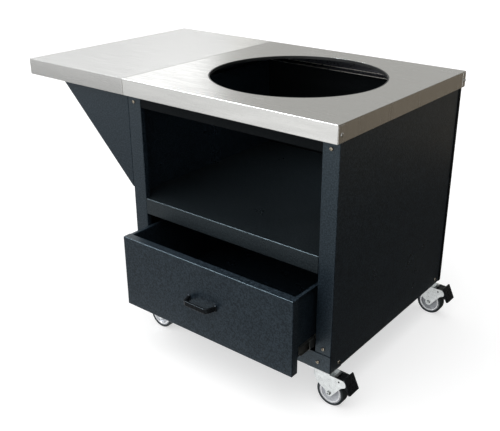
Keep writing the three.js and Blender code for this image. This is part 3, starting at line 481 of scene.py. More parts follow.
def folded_pan(low, high, sheet, bend, corner, hems, fold, hem_width):
    """The loops of a sheet folded down on all sides, from its face round the foot to its underside.
    hems says for left, right, front and rear whether the foot has a hem."""
    def even(inset, level):
        return pan_loop(low, high, [inset] * 4, max(corner - inset, CUT_EDGE), level)

    def foot(inset, level):
        insets = [inset if hem else min(inset, sheet) for hem in hems]
        return pan_loop(low, high, insets, max(corner - inset, CUT_EDGE), level)

    quarter = [math.radians(90 * step / BEND_STEPS) for step in range(BEND_STEPS + 1)]
    outer = [even(bend * (1 - math.sin(a)), high[2] - bend * (1 - math.cos(a))) for a in quarter]
    outer += [foot(fold * (1 - math.cos(a)), low[2] + fold * (1 - math.sin(a))) for a in quarter]
    hem_inner = fold - sheet
    under = [foot(hem_width - CUT_EDGE, low[2]), foot(hem_width, low[2] + CUT_EDGE),
             foot(hem_width, low[2] + sheet - CUT_EDGE), foot(hem_width - CUT_EDGE, low[2] + sheet)]
    under += [foot(sheet + hem_inner * (1 - math.cos(a)), low[2] + sheet + hem_inner * (1 - math.sin(a)))
              for a in reversed(quarter)]
    inner = bend - sheet
    under += [even(sheet + inner * (1 - math.sin(a)), high[2] - sheet - inner * (1 - math.cos(a)))
              for a in reversed(quarter)]
    return outer, under


def hole_loop(like, radius, level):
    """The points of the hole's edge that lie straight inwards from a loop's points."""
    loop = []
    for point in like:
        out = (Vector((point.x, point.y)) - HOLE_CENTRE).normalized() * radius
        loop.append(Vector((HOLE_CENTRE.x + out.x, HOLE_CENTRE.y + out.y, level)))
    return loop


top_low, top_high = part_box("main_top")
outer, under = folded_pan(
    top_low, top_high, TOP_SHEET, TOP_BEND, TOP_CORNER, (False, False, True, True), HEM_FOLD, HEM_WIDTH)
cut_radius = HOLE_RADIUS + BEAD_LAP
hole_edge = [hole_loop(outer[0], radius, top_high.z - drop) for radius, drop in (
    (cut_radius + HOLE_DEBURR, 0), (cut_radius, HOLE_DEBURR),
    (cut_radius, TOP_SHEET - CUT_EDGE), (cut_radius + CUT_EDGE, TOP_SHEET))]
worktop = skin(outer + under + hole_edge[::-1], True)
add_piece("worktop", worktop, STAINLESS, "cabinet", ["main_top"])

# Side shelf: a second folded sheet of the same satin stainless steel, set level with the worktop and
# a hair's breadth from it. Its foot is hemmed on the three free sides, and its right fold leans in.
SHELF_SLOPE = 0.1
SHELF_SEAM_LEAN = 0.0005
SHELF_STAINLESS = satin_stainless("shelf_stainless", SHELF_SLOPE)

shelf_low, shelf_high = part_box("side_shelf_top")
outer, under = folded_pan(
    shelf_low, shelf_high, TOP_SHEET, TOP_BEND, TOP_CORNER, (True, False, True, True), HEM_FOLD, HEM_WIDTH)
for point in (point for loop in outer for point in loop):
    if point.x > shelf_high.x - TOP_SHEET and point.z < shelf_high.z - TOP_BEND:
        point.x -= SHELF_SEAM_LEAN
side_shelf = skin(outer + under, False)
add_piece("side_shelf", side_shelf, SHELF_STAINLESS, "cabinet", ["side_shelf_top"])

# Corner tabs: the front and rear aprons turn round the worktop's right corners and lie on the right
# apron, where a rivet holds each. The tabs are the same stainless sheet, with rounded outer edges.
TAB_PROUD = 0.0009
TAB_TOP_GAP = 0.0035
TAB_FOOT_GAP = 0.0012
TAB_ROUND = 0.0006
TAB_ROUND_STEPS = 3
SPLIT_GAP = 1e-5
ROUNDED_ANGLE = math.radians(30)


def softened(obj, width, steps=2):
    """Rounds an object's sharp edges to that width. Split points are welded and flat faces joined."""
    weld = obj.modifiers.new("weld", "WELD")
    weld.merge_threshold = SPLIT_GAP
    flat = obj.modifiers.new("flat_faces_joined", "DECIMATE")
    flat.decimate_type = "DISSOLVE"
    flat.angle_limit = math.radians(1)
    round_edges = obj.modifiers.new("round_edges", "BEVEL")
    round_edges.width = width
    round_edges.segments = steps
    round_edges.limit_method = "ANGLE"
    round_edges.angle_limit = ROUNDED_ANGLE
    round_edges.use_clamp_overlap = True
    round_edges.harden_normals = True
    smooth_bends(obj)


for end in ("front", "rear"):
    rivet_low, rivet_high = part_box(f"{end}_apron_rivet")
    rivet_radius = (rivet_high.y - rivet_low.y) / 2
    inner_edge = rivet_high.y + rivet_radius if end == "front" else rivet_low.y - rivet_radius
    outer_edge = top_low.y + TOP_BEND if end == "front" else top_high.y - TOP_BEND
    foot, top = top_low.z + TAB_FOOT_GAP, top_high.z - TAB_TOP_GAP
    tab = skin([[(x, inner_edge, foot), (x, outer_edge, foot), (x, outer_edge, top), (x, inner_edge, top)]
                for x in (top_high.x - TOP_SHEET / 2, top_high.x + TAB_PROUD)], False)
    shown = add_piece(f"{end}_corner_tab", tab, STAINLESS, "cabinet", crease=None)
    softened(shown, TAB_ROUND, TAB_ROUND_STEPS)

# Hole edging: a black rubber strip pressed round the edge of the hole, with a soft bead that covers the
# cut edge and a foot that grips under the sheet.
TRIM_BEAD_STEPS = 6
TRIM_STEPS = 160
TRIM_WALL = 0.0017
TRIM_GAP = 0.0003
BEAD_GAP = 0.0001
RUBBER_COLOUR = (0.012, 0.013, 0.013)
RUBBER_DUST_SHARE = 1.9
RUBBER_DUST_SIZE = 0.03
RUBBER_ROUGHNESS = (0.44, 0.58)
RUBBER_SKIN_SIZE = 0.0012
RUBBER_SKIN_DEPTH = 0.00008


def turned(profile, steps, centre, axis):
    """A mesh turned about an axis, Z or Y, from a closed profile of radii and heights."""
    loops = []
    for step in range(steps):
        angle = 2 * math.pi * step / steps
        loop = []
        for radius, height in profile:
            u, v = radius * math.cos(angle), radius * math.sin(angle)
            spot = (u, v, height) if axis == "Z" else (u, height, v)
            loop.append(Vector(centre) + Vector(spot))
        loops.append(loop)
    return skin(loops, True)


def rounded(points, radius, steps=4):
    """A closed outline whose corners are rounded. radius is one number, or one for each point."""
    radii = [radius] * len(points) if isinstance(radius, (int, float)) else radius
    outline = []
    for i, point in enumerate(points):
        here = Vector(point)
        back, ahead = Vector(points[i - 1]) - here, Vector(points[(i + 1) % len(points)]) - here
        if radii[i] <= 0:
            outline.append(here)
            continue
        half = back.angle(ahead) / 2
        reach = min(radii[i] / math.tan(half), back.length * 0.49, ahead.length * 0.49)
        start, end = here + back.normalized() * reach, here + ahead.normalized() * reach
        for step in range(steps + 1):
            share = step / steps
            outline.append(start.lerp(here, share).lerp(here.lerp(end, share), share))
    return outline


def black_rubber():
    """Matt black rubber with a fine skin and a little dust."""
    material, tree, shader = new_finish("black_rubber", 0.0)
    spot = tree.nodes.new("ShaderNodeTexCoord").outputs["Object"]
    fine = noise_node(tree, spot, RUBBER_SKIN_SIZE, 3.0)
    dust = noise_node(tree, spot, RUBBER_DUST_SIZE, 4.0)
    dusty = tuple(RUBBER_DUST_SHARE * c for c in RUBBER_COLOUR)
    tree.links.new(mixed_colour(tree, span_value(tree, dust), RUBBER_COLOUR, dusty),
                   shader.inputs["Base Color"])
    tree.links.new(span_value(tree, fine, *RUBBER_ROUGHNESS), shader.inputs["Roughness"])
    tree.links.new(raised_normal(tree, fine, RUBBER_SKIN_DEPTH), shader.inputs["Normal"])
    return material


RUBBER = black_rubber()
trim_low, trim_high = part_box("hole_trim")
trim_outer = HOLE_RADIUS - TRIM_GAP
trim_inner = trim_outer - TRIM_WALL
foot_outer = (trim_high.x - trim_low.x) / 2
foot_top = top_high.z - TOP_SHEET - TRIM_GAP
bead_outer = cut_radius - BEAD_GAP
trim_profile = rounded(
    [(trim_inner, trim_low.z), (trim_outer, trim_low.z), (trim_outer, foot_top - TRIM_WALL),
     (foot_outer, foot_top - TRIM_WALL), (foot_outer, foot_top),
     (bead_outer, foot_top), (bead_outer, top_high.z), (trim_inner, top_high.z)],
    [0.0008, 0.0004, 0.0004, 0.0006, 0.0006, 0.0002, 0.0007, 0.0012], TRIM_BEAD_STEPS)
trim = turned(trim_profile, TRIM_STEPS, (*HOLE_CENTRE, 0), "Z")
add_piece("hole_edging", trim, RUBBER, "cabinet", ["hole_trim"], 60)

# Cabinet sheets: side panels folded into the front posts, rails, shelf and tray are 1.5 mm steel in a
# dark blue-grey powder coat with an orange-peel skin. The back panel and the front rail, which lie in
# shade, have a darker and duller copy of the coat, which is painted shade; the middle shelf has a
# slightly greyer one.
COAT_COLOUR = (0.0040, 0.0080, 0.0130)
# Each coat's paler colour goes on the lump tops as a painted glint.
COAT_GLINT_COLOUR = (0.029, 0.043, 0.058)
COAT_ROUGHNESS = (0.27, 0.36)
COAT_GLOSS = 0.55
COAT_TINT = (0.72, 0.90, 1.0)
SHELF_COAT_COLOUR = (0.0036, 0.0058, 0.0080)
SHELF_COAT_GLINT_COLOUR = (0.024, 0.031, 0.035)
# A darker and duller copy of the coat: painted shade for the pieces that lie in shade.
SHADED_COAT_COLOUR = (0.0032, 0.0038, 0.0044)
SHADED_COAT_GLINT_COLOUR = (0.0062, 0.0070, 0.0078)
SHADED_COAT_ROUGHNESS = (0.51, 0.60)
SHADED_COAT_GLOSS = 0.09
PEEL_SIZE = 0.0042
PEEL_DEPTH = 0.0006
SHADED_PEEL_DEPTH = 0.00012
PEEL_LUMP_SHARE = 0.7
PEEL_GLINT_RANGE = (0.38, 0.68)
SHEET_EDGE = 0.0004


def orange_peel_group():
    """The skin of a powder coat: soft lumps with finer ones on them, and a mask of pale specks on the lump
    tops that paints their glint.
    """
    group, entry, leave = new_group(
        "orange_peel", [("Lump Size", 0.002), ("Fine Share", 0.4), ("Cloud Size", 0.12)],
        ["Height", "Painted Glint", "Cloud"])
    spot = group.nodes.new("ShaderNodeTexCoord").outputs["Object"]
    lumps = noise_node(group, spot, entry.outputs["Lump Size"], 1.0)
    fine_size = math_node(group, "MULTIPLY", entry.outputs["Lump Size"], entry.outputs["Fine Share"])
    fine = noise_node(group, spot, fine_size, 2.0)
    height = math_node(group, "ADD", math_node(group, "MULTIPLY", lumps, PEEL_LUMP_SHARE),
                       math_node(group, "MULTIPLY", fine, 1 - PEEL_LUMP_SHARE))
    group.links.new(height, leave.inputs["Height"])
    group.links.new(span_value(group, lumps, 0.0, 1.0, *PEEL_GLINT_RANGE), leave.inputs["Painted Glint"])
    group.links.new(noise_node(group, spot, entry.outputs["Cloud Size"], 3.0), leave.inputs["Cloud"])
    return group


ORANGE_PEEL = orange_peel_group()


def powder_coat(name, colour, glint_colour, roughness, gloss, depth):
    """Powder coat: dark colour, pale specks on the tops of its lumps that paint their glint, and a soft sheen
    that follows them. The roughness is a pair, because it drifts from one to the other."""
    material, tree, shader = new_finish(name, 0.0)
    peel = add_group(tree, ORANGE_PEEL, Lump_Size=PEEL_SIZE)
    # Pale specks on the lump tops: a painted glint of the orange peel.
    tree.links.new(mixed_colour(tree, peel["Painted Glint"], colour, glint_colour), shader.inputs["Base Color"])
    tree.links.new(span_value(tree, peel["Cloud"], *roughness), shader.inputs["Roughness"])
    tree.links.new(raised_normal(tree, peel["Height"], depth), shader.inputs["Normal"])
    shader.inputs["Specular IOR Level"].default_value = gloss
    shader.inputs["Specular Tint"].default_value = (*COAT_TINT, 1)
    return material


COAT = powder_coat(
    "powder_coat", COAT_COLOUR, COAT_GLINT_COLOUR, COAT_ROUGHNESS, COAT_GLOSS, PEEL_DEPTH)
SHELF_COAT = powder_coat(
    "shelf_coat", SHELF_COAT_COLOUR, SHELF_COAT_GLINT_COLOUR, COAT_ROUGHNESS, COAT_GLOSS, PEEL_DEPTH)
# The darker copy of the coat, which paints shade onto the pieces that lie in shade.
SHADED_COAT = powder_coat(
    "shaded_coat", SHADED_COAT_COLOUR, SHADED_COAT_GLINT_COLOUR, SHADED_COAT_ROUGHNESS, SHADED_COAT_GLOSS,
    SHADED_PEEL_DEPTH)


def dressed(node, material, width):
    """Gives a carried-over node its finish and rounds its cut edges."""
    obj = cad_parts[node]
    obj.data.materials.clear()
    obj.data.materials.append(material)
    softened(obj, width)


for node in ("left_side_panel", "right_side_panel", "left_top_rail", "right_top_rail", "base_tray"):
    dressed(node, COAT, SHEET_EDGE)
# The back panel and the front rail lie in shade, and their darker coat is painted shade.
for node in ("back_panel", "front_top_rail"):
    dressed(node, SHADED_COAT, SHEET_EDGE)
dressed("middle_shelf", SHELF_COAT, SHEET_EDGE)

# Gussets: three-sided steel plates with a flange folded back along each edge, in the cabinet's powder
# coat with a little less sheen. They are bolted to the cabinet's left side and carry the side shelf.
GUSSET_SHEET = 0.0015
GUSSET_BEND = 0.003
GUSSET_CORNER = 0.0035
GUSSET_NOTCH_GAP = 0.0003
PLATE_GLOSS = 0.46
PLATE_COAT = powder_coat(
    "plate_coat", COAT_COLOUR, COAT_GLINT_COLOUR, COAT_ROUGHNESS, PLATE_GLOSS, PEEL_DEPTH)


def inset_outline(corners, inset, radius):
    """An outline moved inwards by inset. Its outward corners are round and the others stay sharp."""
    moved, radii = [], []
    for i, corner in enumerate(corners):
        here = Vector(corner)
        come = (here - Vector(corners[i - 1])).normalized()
        leave = (Vector(corners[(i + 1) % len(corners)]) - here).normalized()
        inwards = Vector((-come.y - leave.y, come.x + leave.x))
        moved.append(here + inwards * inset / (1 + come.dot(leave)))
        turns_left = come.x * leave.y - come.y * leave.x > 0
        radii.append(max(radius - inset, CUT_EDGE) if turns_left else CUT_EDGE)
    return rounded(moved, radii, CORNER_STEPS)


def folded_plate(corners, radius, sheet, bend, depth, spot):
    """A plate with a flange folded back along every edge. The corners run anticlockwise in front, and
    spot turns a place on the plate and a depth behind its face into a point."""
    quarter = [math.radians(90 * step / BEND_STEPS) for step in range(BEND_STEPS + 1)]
    inner = bend - sheet
    levels = [(bend * (1 - math.sin(a)), bend * (1 - math.cos(a))) for a in quarter]
    levels += [(0, depth - CUT_EDGE), (CUT_EDGE, depth), (sheet - CUT_EDGE, depth), (sheet, depth - CUT_EDGE)]
    levels += [(sheet + inner * (1 - math.sin(a)), sheet + inner * (1 - math.cos(a)))
               for a in reversed(quarter)]
    loops = [[spot(u, v, behind) for u, v in inset_outline(corners, inset, radius)]
             for inset, behind in levels]
    return skin(loops, False)


for end, towards in (("front", 1), ("rear", -1)):
    low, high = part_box(f"{end}_shelf_gusset")
    notch_left = shelf_high.x - TOP_SHEET - 2 * GUSSET_NOTCH_GAP
    notch_low = shelf_low.z - GUSSET_NOTCH_GAP
    gusset_corners = [(high.x, low.z), (high.x, notch_low), (notch_left, notch_low),
                      (notch_left, high.z), (low.x, high.z)]
    face = low.y if towards > 0 else high.y
    plate = folded_plate(
        gusset_corners, GUSSET_CORNER, GUSSET_SHEET, GUSSET_BEND, high.y - low.y,
        lambda u, v, behind: Vector((u, face + towards * behind, v)))
    add_piece(f"{end}_gusset", plate, PLATE_COAT, "cabinet", [f"{end}_shelf_gusset"])

# Drawer front: a steel plate with all four edges turned back, in the same coat as the gussets. It is
# screwed to the front of the drawer box.
DRAWER_SHEET = 0.0015
DRAWER_BEND = 0.003
DRAWER_CORNER = 0.0026

low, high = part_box("drawer_front")
front_corners = [(low.x, low.z), (high.x, low.z), (high.x, high.z), (low.x, high.z)]
plate = folded_plate(
    front_corners, DRAWER_CORNER, DRAWER_SHEET, DRAWER_BEND, high.y - low.y,
    lambda u, v, behind: Vector((u, low.y + behind, v)))
add_piece("drawer_plate", plate, PLATE_COAT, "drawer", ["drawer_front"])

# Drawer box: folded from steel sheet, with a rim turned out along both sides, in the cabinet's powder
# coat. It hangs between the two slides.
dressed("drawer_box", COAT, SHEET_EDGE)

# Drawer handle: a black moulded bow that stands on two flared feet. It is moulded in one piece and
# screwed on from behind.
PLASTIC_COLOUR = (0.006, 0.0065, 0.007)
PLASTIC_LIGHT_COLOUR = (0.010, 0.011, 0.012)
PLASTIC_ROUGHNESS = (0.21, 0.35)
PLASTIC_GLOSS = 0.14
PLASTIC_TINT = (0.72, 0.86, 1.0)
PLASTIC_TEXTURE_SIZE = 0.0007
PLASTIC_TEXTURE_DEPTH = 0.000015
PLASTIC_SCUFF_SIZE = 0.012
HANDLE_BAR_THICKNESS = 0.0085
HANDLE_BAR_HEIGHT_SHARE = 0.82
HANDLE_FOOT_INSET = 0.0075
HANDLE_SLANT = 0.009
HANDLE_TURN = 0.013
HANDLE_TURN_STEPS = 9
HANDLE_SECTION_ROUND = 0.0034
# How far each ring of a foot stands from its end, and its size as a share of the bar's.
HANDLE_FOOT_FLARE = ((0.0, 1.34), (0.0012, 1.31), (0.0026, 1.12), (0.0045, 1.0))


def moulded_skin_group():
    """The skin of moulded plastic: a fine spark-eroded texture, and faint scuffs."""
    group, entry, leave = new_group(
        "moulded_skin", [("Texture Size", 0.001), ("Scuff Size", 0.01)], ["Texture", "Scuff"])
    spot = group.nodes.new("ShaderNodeTexCoord").outputs["Object"]
    group.links.new(noise_node(group, spot, entry.outputs["Texture Size"], 2.0), leave.inputs["Texture"])
    scuff = noise_node(group, spot, entry.outputs["Scuff Size"], 5.0)
    group.links.new(span_value(group, scuff), leave.inputs["Scuff"])
    return group


MOULDED_SKIN = moulded_skin_group()


def moulded_plastic(name, colour, light, roughness, gloss):
    """Moulded plastic with a fine spark-eroded skin and faint scuffs, which are lighter and rougher."""
    material, tree, shader = new_finish(name, 0.0)
    marks = add_group(
        tree, MOULDED_SKIN, Texture_Size=PLASTIC_TEXTURE_SIZE, Scuff_Size=PLASTIC_SCUFF_SIZE)
    tree.links.new(mixed_colour(tree, marks["Scuff"], colour, light), shader.inputs["Base Color"])
    tree.links.new(span_value(tree, marks["Scuff"], *roughness, 0, 1), shader.inputs["Roughness"])
    tree.links.new(raised_normal(tree, marks["Texture"], PLASTIC_TEXTURE_DEPTH), shader.inputs["Normal"])
    shader.inputs["Specular IOR Level"].default_value = gloss
    shader.inputs["Specular Tint"].default_value = (*PLASTIC_TINT, 1)
    return material


def swept(path, width, height, section_round, scales):
    """A bar that follows a path in a level plane. Its section is a rounded rectangle, and scales gives
    the section's size at each point of the path."""
    section = rounded([(-width / 2, -height / 2), (width / 2, -height / 2),
                       (width / 2, height / 2), (-width / 2, height / 2)], section_round, 5)
    loops = []
    for i, (point, scale) in enumerate(zip(path, scales)):
        ahead = (path[min(i + 1, len(path) - 1)] - path[max(i - 1, 0)]).normalized()
        sideways = Vector((-ahead.y, ahead.x, 0))
        loops.append([point + (sideways * u + Vector((0, 0, v))) * scale for u, v in section])
    return skin(loops, False)


BLACK_PLASTIC = moulded_plastic(
    "black_plastic", PLASTIC_COLOUR, PLASTIC_LIGHT_COLOUR, PLASTIC_ROUGHNESS, PLASTIC_GLOSS)
low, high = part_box("drawer_handle")
handle_middle = (low + high) / 2
foot_x = (high.x - low.x) / 2 - HANDLE_FOOT_INSET
bar_x = foot_x - HANDLE_SLANT
bar_y = low.y + HANDLE_BAR_THICKNESS / 2
bar_height = (high.z - low.z) * HANDLE_BAR_HEIGHT_SHARE
handle_path = [Vector((handle_middle.x + x, y, handle_middle.z)) for x, y in rounded(
    [(-foot_x, high.y), (-bar_x, bar_y), (bar_x, bar_y), (foot_x, high.y)],
    [0, HANDLE_TURN, HANDLE_TURN, 0], HANDLE_TURN_STEPS)]
start_run = (handle_path[1] - handle_path[0]).normalized()
end_run = (handle_path[-2] - handle_path[-1]).normalized()
foot_start = [handle_path[0] + start_run * away_from for away_from, _ in HANDLE_FOOT_FLARE]
foot_end = [handle_path[-1] + end_run * away_from for away_from, _ in reversed(HANDLE_FOOT_FLARE)]
flare = [scale for _, scale in HANDLE_FOOT_FLARE]
bow_path = foot_start + handle_path[1:-1] + foot_end
bow_scales = flare + [1.0] * (len(handle_path) - 2) + flare[::-1]
bow = swept(bow_path, HANDLE_BAR_THICKNESS, bar_height, HANDLE_SECTION_ROUND, bow_scales)
add_piece("bow_handle", bow, BLACK_PLASTIC, "drawer", ["drawer_handle"], 60)

# Slides: three nested channels a side of zinc-plated sheet steel with rolled edges. Each set is screwed
# to a folded steel support in the darker copy of the coat, painted shade for the dark gap beside the drawer.
DULL_ZINC_COLOUR = (0.36, 0.36, 0.34)
DULL_ZINC_ROUGHNESS = (0.47, 0.37)
SLIDE_EDGE = 0.0002
ZINC_DARK_SHARE = 0.82
ZINC_PATCH_SIZE = 0.01
ZINC_GRAIN_SIZE = 0.0008
ZINC_GRAIN_DEPTH = 0.00003


def zinc_patches_group():
    """The look of plated steel: cloudy patches, and the fine grain of the sheet under them."""
    group, entry, leave = new_group(
        "zinc_patches", [("Patch Size", 0.01), ("Grain Size", 0.001)], ["Patch", "Grain"])
    spot = group.nodes.new("ShaderNodeTexCoord").outputs["Object"]
    patch = noise_node(group, spot, entry.outputs["Patch Size"], 4.0)
    group.links.new(span_value(group, patch), leave.inputs["Patch"])
    group.links.new(noise_node(group, spot, entry.outputs["Grain Size"], 2.0), leave.inputs["Grain"])
    return group


ZINC_PATCHES = zinc_patches_group()


def zinc_plate(name, colour, roughness):
    """Plated or bare steel. The roughness is a pair, of its darker and of its brighter patches."""
    material, tree, shader = new_finish(name, 1.0)
    marks = add_group(tree, ZINC_PATCHES, Patch_Size=ZINC_PATCH_SIZE, Grain_Size=ZINC_GRAIN_SIZE)
    dark = tuple(ZINC_DARK_SHARE * c for c in colour)
    tree.links.new(mixed_colour(tree, marks["Patch"], dark, colour), shader.inputs["Base Color"])
    tree.links.new(span_value(tree, marks["Patch"], *roughness, 0, 1), shader.inputs["Roughness"])
    tree.links.new(raised_normal(tree, marks["Grain"], ZINC_GRAIN_DEPTH), shader.inputs["Normal"])
    return material


DULL_ZINC = zinc_plate("dull_zinc", DULL_ZINC_COLOUR, DULL_ZINC_ROUGHNESS)
for hand in ("left", "right"):
    # The supports lie in the dark gap beside the drawer, and their darker coat is painted shade.
    dressed(f"{hand}_slide_support", SHADED_COAT, SHEET_EDGE)
    for member in ("cabinet", "middle", "drawer"):
        dressed(f"{hand}_slide_{member}_member", DULL_ZINC, SLIDE_EDGE)

# Rear rail: a folded channel of bare dark steel between the side panels, seen through the round hole.
# Two ridges lie along its front face, one at its foot. They stand for the light lines on its folded edges,
# and their steel is far paler than the rail's: a painted highlight.
RAIL_STEEL_COLOUR = (0.075, 0.078, 0.088)
RIDGE_HIGHLIGHT_COLOUR = (0.68, 0.66, 0.62)
RAIL_ROUGHNESS = (0.35, 0.25)
RAIL_EDGE = 0.0013
RIDGE_COUNT = 2
RIDGE_RADIUS = 0.0015
RIDGE_STEPS = 16
RIDGE_PITCH = 0.0125
RIDGE_END = 0.012

RAIL_STEEL = zinc_plate("rail_steel", RAIL_STEEL_COLOUR, RAIL_ROUGHNESS)
# The ridges' steel is a far paler copy of the rail's steel: a painted highlight.
RIDGE_HIGHLIGHT_STEEL = zinc_plate("ridge_highlight_steel", RIDGE_HIGHLIGHT_COLOUR, RAIL_ROUGHNESS)
dressed("rear_top_rail", RAIL_STEEL, RAIL_EDGE)
rail_low, rail_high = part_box("rear_top_rail")
turns = [2 * math.pi * step / RIDGE_STEPS for step in range(RIDGE_STEPS)]
for count in range(RIDGE_COUNT):
    level = rail_low.z + RIDGE_RADIUS + count * RIDGE_PITCH
    loops = [[Vector((x, rail_low.y + RIDGE_RADIUS * math.cos(a), level + RIDGE_RADIUS * math.sin(a)))
              for a in turns] for x in (rail_low.x + RIDGE_END, rail_high.x - RIDGE_END)]
    ridge = skin(loops, False)
    add_piece(f"rear_rail_ridge_{count + 1}", ridge, RIDGE_HIGHLIGHT_STEEL, "cabinet")

# Caster plates, forks and pedals: the plates and forks are pressed from sheet steel and zinc-plated
# bright, and the brake pedals are moulded in black plastic.
CORNERS = ("front_left", "front_right", "rear_left", "rear_right")
BRIGHT_ZINC_COLOUR = (0.78, 0.81, 0.81)
BRIGHT_ZINC_ROUGHNESS = (0.29, 0.19)
CASTER_PLATE_EDGE = 0.0005
FORK_EDGE = 0.0009
PEDAL_EDGE = 0.0013

BRIGHT_ZINC = zinc_plate("bright_zinc", BRIGHT_ZINC_COLOUR, BRIGHT_ZINC_ROUGHNESS)
for corner in CORNERS:
    dressed(f"{corner}_caster_plate", BRIGHT_ZINC, CASTER_PLATE_EDGE)
    dressed(f"{corner}_caster_fork", BRIGHT_ZINC, FORK_EDGE)
    dressed(f"{corner}_brake_pedal", BLACK_PLASTIC, PEDAL_EDGE)

# Wheel rims: moulded in light grey plastic with a thin web and a long hub. A bright zinc-plated
# ring is pressed into a groove on each side.
RIM_COLOUR = (0.84, 0.86, 0.90)
RIM_LIGHT_COLOUR = (0.91, 0.93, 0.97)
RIM_ROUGHNESS = (0.27, 0.41)
RIM_GLOSS = 0.5
RING_COLOUR = (0.96, 0.97, 0.98)
RING_ROUGHNESS = (0.35, 0.25)
RIM_HALF = 0.013
WEB_HALF = 0.0065
HUB_HALF = 0.015
RIM_RADIUS = 0.037
BORE_RADIUS = 0.0043
RING_OUTER = 0.0336
RING_INNER = 0.0298
RING_FOOT = RIM_HALF - 0.0035
RING_CUT = 0.0001
RING_ROUND = 0.0012
WHEEL_TURN_STEPS = 96
# Half of a rim's section, as radii and distances from the wheel's middle: the seat's edge, the ring's
# groove, the web with a raised bead on it, and the hub.
RIM_SECTION = [
    (RIM_RADIUS, RIM_HALF - 0.0008), (RIM_RADIUS - 0.0008, RIM_HALF),
    (0.0352, RIM_HALF), (0.0346, RING_FOOT), (0.0290, RING_FOOT),
    (0.0280, WEB_HALF + 0.0010), (0.0272, WEB_HALF),
    (0.0216, WEB_HALF), (0.0212, WEB_HALF + 0.0007), (0.0200, WEB_HALF + 0.0007), (0.0196, WEB_HALF),
    (0.0142, WEB_HALF), (0.0126, WEB_HALF + 0.0012),
    (0.0112, HUB_HALF - 0.0006), (0.0106, HUB_HALF), (BORE_RADIUS, HUB_HALF),
]

GREY_PLASTIC = moulded_plastic("grey_plastic", RIM_COLOUR, RIM_LIGHT_COLOUR, RIM_ROUGHNESS, RIM_GLOSS)
RING_ZINC = zinc_plate("ring_zinc", RING_COLOUR, RING_ROUGHNESS)
rim_profile = RIM_SECTION + [(radius, -height) for radius, height in reversed(RIM_SECTION)]
ring_profile = rounded(
    [(RING_INNER, RING_FOOT), (RING_OUTER, RING_FOOT), (RING_OUTER, RIM_HALF), (RING_INNER, RIM_HALF)],
    [RING_CUT, RING_CUT, RING_ROUND, RING_ROUND])
for corner in CORNERS:
    low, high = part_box(f"{corner}_wheel_rim")
    middle = (low + high) / 2
    rim = turned(rim_profile, WHEEL_TURN_STEPS, middle, "Y")
    add_piece(f"{corner}_rim", rim, GREY_PLASTIC, f"{corner}_wheel",
              [f"{corner}_wheel_rim"], 50)
    for side, towards in (("front", -1), ("rear", 1)):
        facing_profile = [(radius, towards * height) for radius, height in ring_profile]
        ring = turned(facing_profile, WHEEL_TURN_STEPS, middle, "Y")
        add_piece(f"{corner}_{side}_ring", ring, RING_ZINC, f"{corner}_wheel", crease=50)

# Tyres: soft grey rubber with rounded shoulders and a flat tread, moulded on the rims. Their finish is
# that of the plastic parts, only rougher.
TREAD_COLOUR = (0.040, 0.048, 0.050)
TREAD_LIGHT_COLOUR = (0.058, 0.066, 0.068)
TREAD_ROUGHNESS = (0.44, 0.58)
TREAD_GLOSS = 0.3
SEAT_GAP = 0.0003
SHOULDER_DROP = 0.0016
SHOULDER_WIDTH = 0.0024
SHOULDER_ROUND = 0.003
SEAT_ROUND = 0.0004
TYRE_ROUND_STEPS = 5

TREAD = moulded_plastic("grey_tread", TREAD_COLOUR, TREAD_LIGHT_COLOUR, TREAD_ROUGHNESS, TREAD_GLOSS)
for corner in CORNERS:
    low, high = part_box(f"{corner}_tyre")
    half, outer_radius = (high.y - low.y) / 2, (high.z - low.z) / 2
    tyre_profile = rounded(
        [(RIM_RADIUS + SEAT_GAP, -half), (outer_radius - SHOULDER_DROP, -half),
         (outer_radius, -half + SHOULDER_WIDTH), (outer_radius, half - SHOULDER_WIDTH),
         (outer_radius - SHOULDER_DROP, half), (RIM_RADIUS + SEAT_GAP, half)],
        [SEAT_ROUND, *[SHOULDER_ROUND] * 4, SEAT_ROUND], TYRE_ROUND_STEPS)
    tread = turned(tyre_profile, WHEEL_TURN_STEPS, (low + high) / 2, "Y")
    add_piece(f"{corner}_tread", tread, TREAD, f"{corner}_wheel", [f"{corner}_tyre"], 60)

# Axles: a zinc-plated bolt through each fork, with a domed head in front that has a hexagon socket,
# and the same head screwed on behind.
AXLE_SOCKET = 0.006
AXLE_HEAD_GAP = 0.0003
SHAFT_GAP = 0.0003
SHAFT_INNER = 0.001
SHAFT_ROUND = 0.0002
HEAD_STEPS = 48
HEAD_DOME_STEPS = 6
HEAD_FOOT_SHARE = 0.97
HEAD_RIM_SHARE = 0.08
HEAD_FLAT_SHARE = 0.5
SOCKET_DEPTH_SHARE = 0.8
# The rings of a rivet's dimple, as shares of its head's radius and height.
DIMPLE = ((0.26, 1.0), (0.2, 0.86), (0.08, 0.8))
# For each way that a head can face: the point at u and v across it, and up from the face it stands on.
WAYS = {
    "front": lambda centre, u, v, up: Vector((centre.x + u, centre.y - up, centre.z + v)),
    "rear": lambda centre, u, v, up: Vector((centre.x + u, centre.y + up, centre.z + v)),
    "right": lambda centre, u, v, up: Vector((centre.x + up, centre.y + u, centre.z + v)),
}


